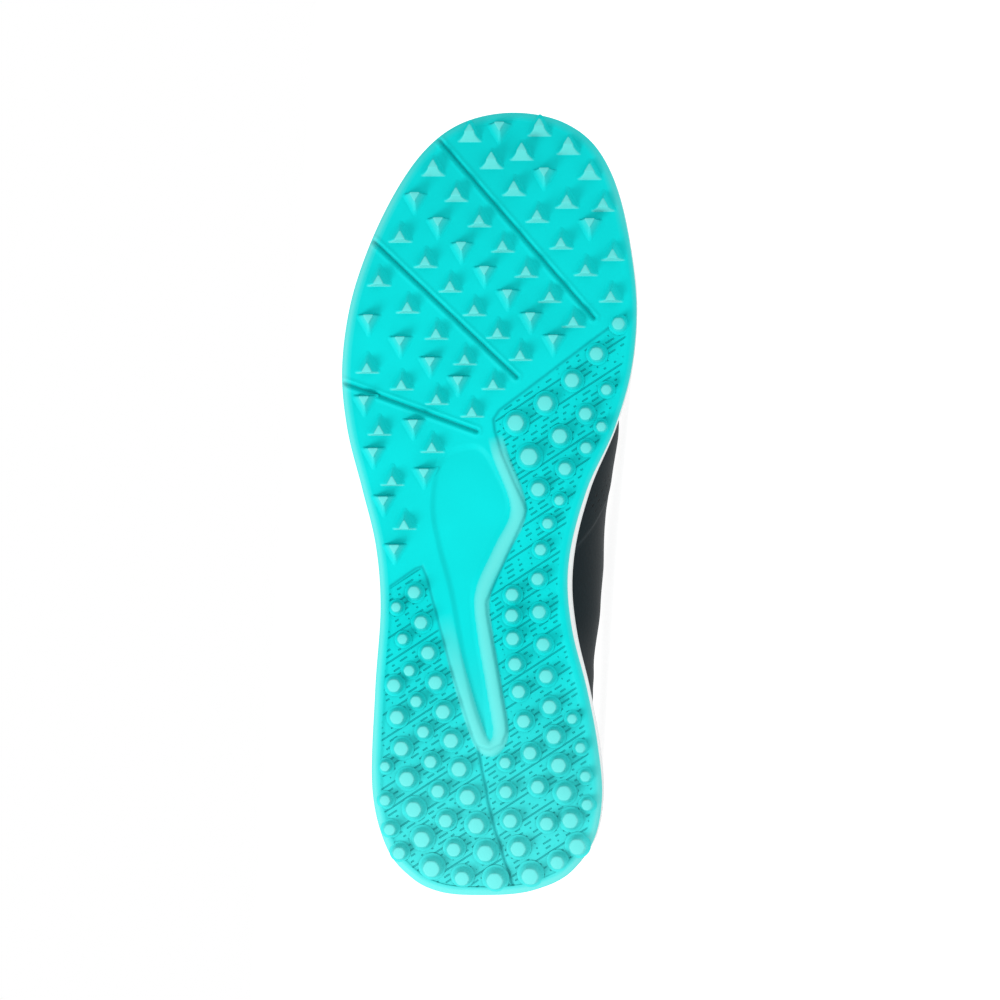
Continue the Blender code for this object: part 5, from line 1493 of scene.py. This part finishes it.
def cushion(shape, top, thickness, swell, margin):
    """A sheet closed into a cushion with rounded borders, from the grid of its top."""
    n, m = top.shape[:2]
    normals = np.cross(np.gradient(top, axis=0), np.gradient(top, axis=1))
    normals /= np.linalg.norm(normals, axis=-1, keepdims=True)
    normals *= np.sign(normals[..., 2].sum())
    away = np.minimum(
        np.minimum(from_border(top, 0, 0), from_border(top, 0, 1)),
        np.minimum(from_border(top, 1, 0), from_border(top, 1, 1)),
    )
    full = np.sqrt(1 - (1 - np.clip(away / margin, 0, 1)) ** 2)
    padded = swell * (ramp(away, 4.2, 9.0) - 0.35 * bell(away - 3.6, 0.8))
    half = thickness / 2
    upper = top + normals * (-half + half * full + padded * MM)[..., None]
    under = top + normals * (-half - half * full)[..., None]
    shape.grid(upper, (0, 0, 1))
    shape.grid(under, (0, 0, -1))


columns = (1 - np.cos(np.linspace(0, math.pi, 41))) - 1
rows = []
for s in np.linspace(THROAT_TOP + 0.012, 0.715, 70):
    half = TONGUE_HALF_WIDTH * smooth((THROAT_TOP, 0.47, 0.56, 0.72), (0.64, 0.96, 1.0, 0.72), s)
    rows.append([over_roof(s, half * c, -UPPER_WALL - 0.0011)[0] for c in columns])
root = np.array(rows[0])
heading = root[20] - np.array(rows[2])[20]
heading /= np.linalg.norm(heading)
free_end = []
for reach in (1 - np.cos(np.linspace(0, math.pi / 2, 30)[1:])):
    reach = math.sin(reach * math.pi / 2)
    narrow = smooth((0.0, 0.22, 0.78, 0.93, 1.0), (1.0, 0.97, 0.95, 0.88, 0.74), reach)
    row = root.copy()
    row[:, 0] = root[20, 0] + (root[:, 0] - root[20, 0]) * narrow
    row += heading * TONGUE_REACH * reach + (0, 0, 0.26 * TONGUE_REACH * reach**2)
    row -= heading * (0.10 * TONGUE_REACH * np.abs(columns) ** 2.5 * reach)[:, None]
    free_end.append(row)
tongue_shape = Shape()
cushion(tongue_shape, np.array(free_end[::-1] + rows), TONGUE_THICKNESS, 0.7, 1.6)
tongue = tongue_shape.make("padded_tongue", LINING)
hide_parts("tongue")

# %% The insole
INSOLE_THICKNESS = 0.0042
side_gap = UPPER_WALL + 0.0001
stations = feather_outline.stations(160)
left, right = (stacked(*feather_outline.point(side, stations, side_gap), 0.0) for side in (INNER, OUTER))
bed = np.stack([left * (1 - t) + right * t for t in (1 - np.cos(np.linspace(0, math.pi, 40))) / 2], 1)
bed[..., 2] = midsole_top(bed[..., 1]) + INSOLE_THICKNESS
insole_shape = Shape()
cushion(insole_shape, bed[2:-2], INSOLE_THICKNESS - 0.0002, 0.35, 1.5)
COVER = make_cloth("insole_cover", (0.013, 0.020, 0.025), 0.8)
insole = insole_shape.make("cloth_insole", COVER)
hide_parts("insole")

# %% [markdown]
# ## Floor, light and camera
# The shoe lies on its inner side on a white floor, as a shop's studio would show it. One soft
# lamp shines from the heel and the outer side, so each lug has a bright and a dark flank, and
# a white surround fills the rest. The camera looks square at the tread with a long lens,
# which keeps heel and toe at one scale, and it is rolled so that the toe points up.

# %% Floor, surroundings, lights and camera
def lit_from(name, direction, size, watts, aim=(0.0, 0.150, 0.02), distance=1.1):
    """A soft square lamp that shines at the shoe from a direction in its standing axes."""
    lamp = bpy.data.lights.new(name, "AREA")
    lamp.shape = "SQUARE"
    lamp.size = size
    lamp.energy = watts
    item = bpy.data.objects.new(name, lamp)
    bpy.context.scene.collection.objects.link(item)
    aim = LAID_DOWN @ Vector(aim)
    heading = (LAID_DOWN.to_3x3() @ Vector(direction)).normalized()
    item.location = aim + heading * distance
    item.rotation_euler = (-heading).to_track_quat("-Z", "Y").to_euler()
    return item


lit_from("key", (0.62, -0.52, -0.62), 0.45, 10)

world = bpy.data.worlds.new("studio")
bpy.context.scene.world = world
world.use_nodes = True
world.node_tree.nodes["Background"].inputs[0].default_value = (1, 1, 1, 1)
world.node_tree.nodes["Background"].inputs[1].default_value = 1.0


def make_floor():
    finish = Finish("studio_floor", (0.9, 0.9, 0.9), 0.8, Specular_IOR_Level=0.1)
    finish.shader.inputs["Emission Color"].default_value = (1, 1, 1, 1)
    finish.shader.inputs["Emission Strength"].default_value = 0.92
    speckle = finish.noise(60, 2)
    finish.feed("Base Color", finish.mix(speckle, (0.34, 0.34, 0.34), (0.37, 0.37, 0.37)))
    mesh = bpy.data.meshes.new("studio_floor")
    ring = [(3.0 * math.cos(a), 3.0 * math.sin(a), -0.0002) for a in np.linspace(0, math.tau, 64, endpoint=False)]
    mesh.from_pydata(ring, [], [list(range(64))])
    mesh.materials.append(finish.material)
    floor = bpy.data.objects.new("studio_floor", mesh)
    bpy.context.scene.collection.objects.link(floor)
    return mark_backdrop(floor)


make_floor()

VIEW_TURN = math.radians(4)
CAMERA_DISTANCE = 2.6
SEEN_ACROSS = 0.3785


def make_camera():
    """A camera square to the tread, turned a little to the inner side, with the toe up."""
    data = bpy.data.cameras.new("camera")
    data.sensor_width = 36
    data.lens = 36 * CAMERA_DISTANCE / SEEN_ACROSS
    item = bpy.data.objects.new("camera", data)
    bpy.context.scene.collection.objects.link(item)
    turn = LAID_DOWN.to_3x3()
    ahead = turn @ Vector((math.sin(VIEW_TURN), 0, math.cos(VIEW_TURN)))
    up = turn @ Vector((0, 1, 0))
    right = ahead.cross(up).normalized()
    item.matrix_world = Matrix((right, up, -ahead)).transposed().to_4x4()
    item.location = LAID_DOWN @ Vector((-0.0054, 0.1502, 0)) - ahead * CAMERA_DISTANCE
    bpy.context.scene.camera = item
    print("camera height:", round(item.location.z, 3), "m")


make_camera()
bpy.context.scene.view_settings.view_transform = "Standard"
bpy.context.scene.view_settings.look = "None"
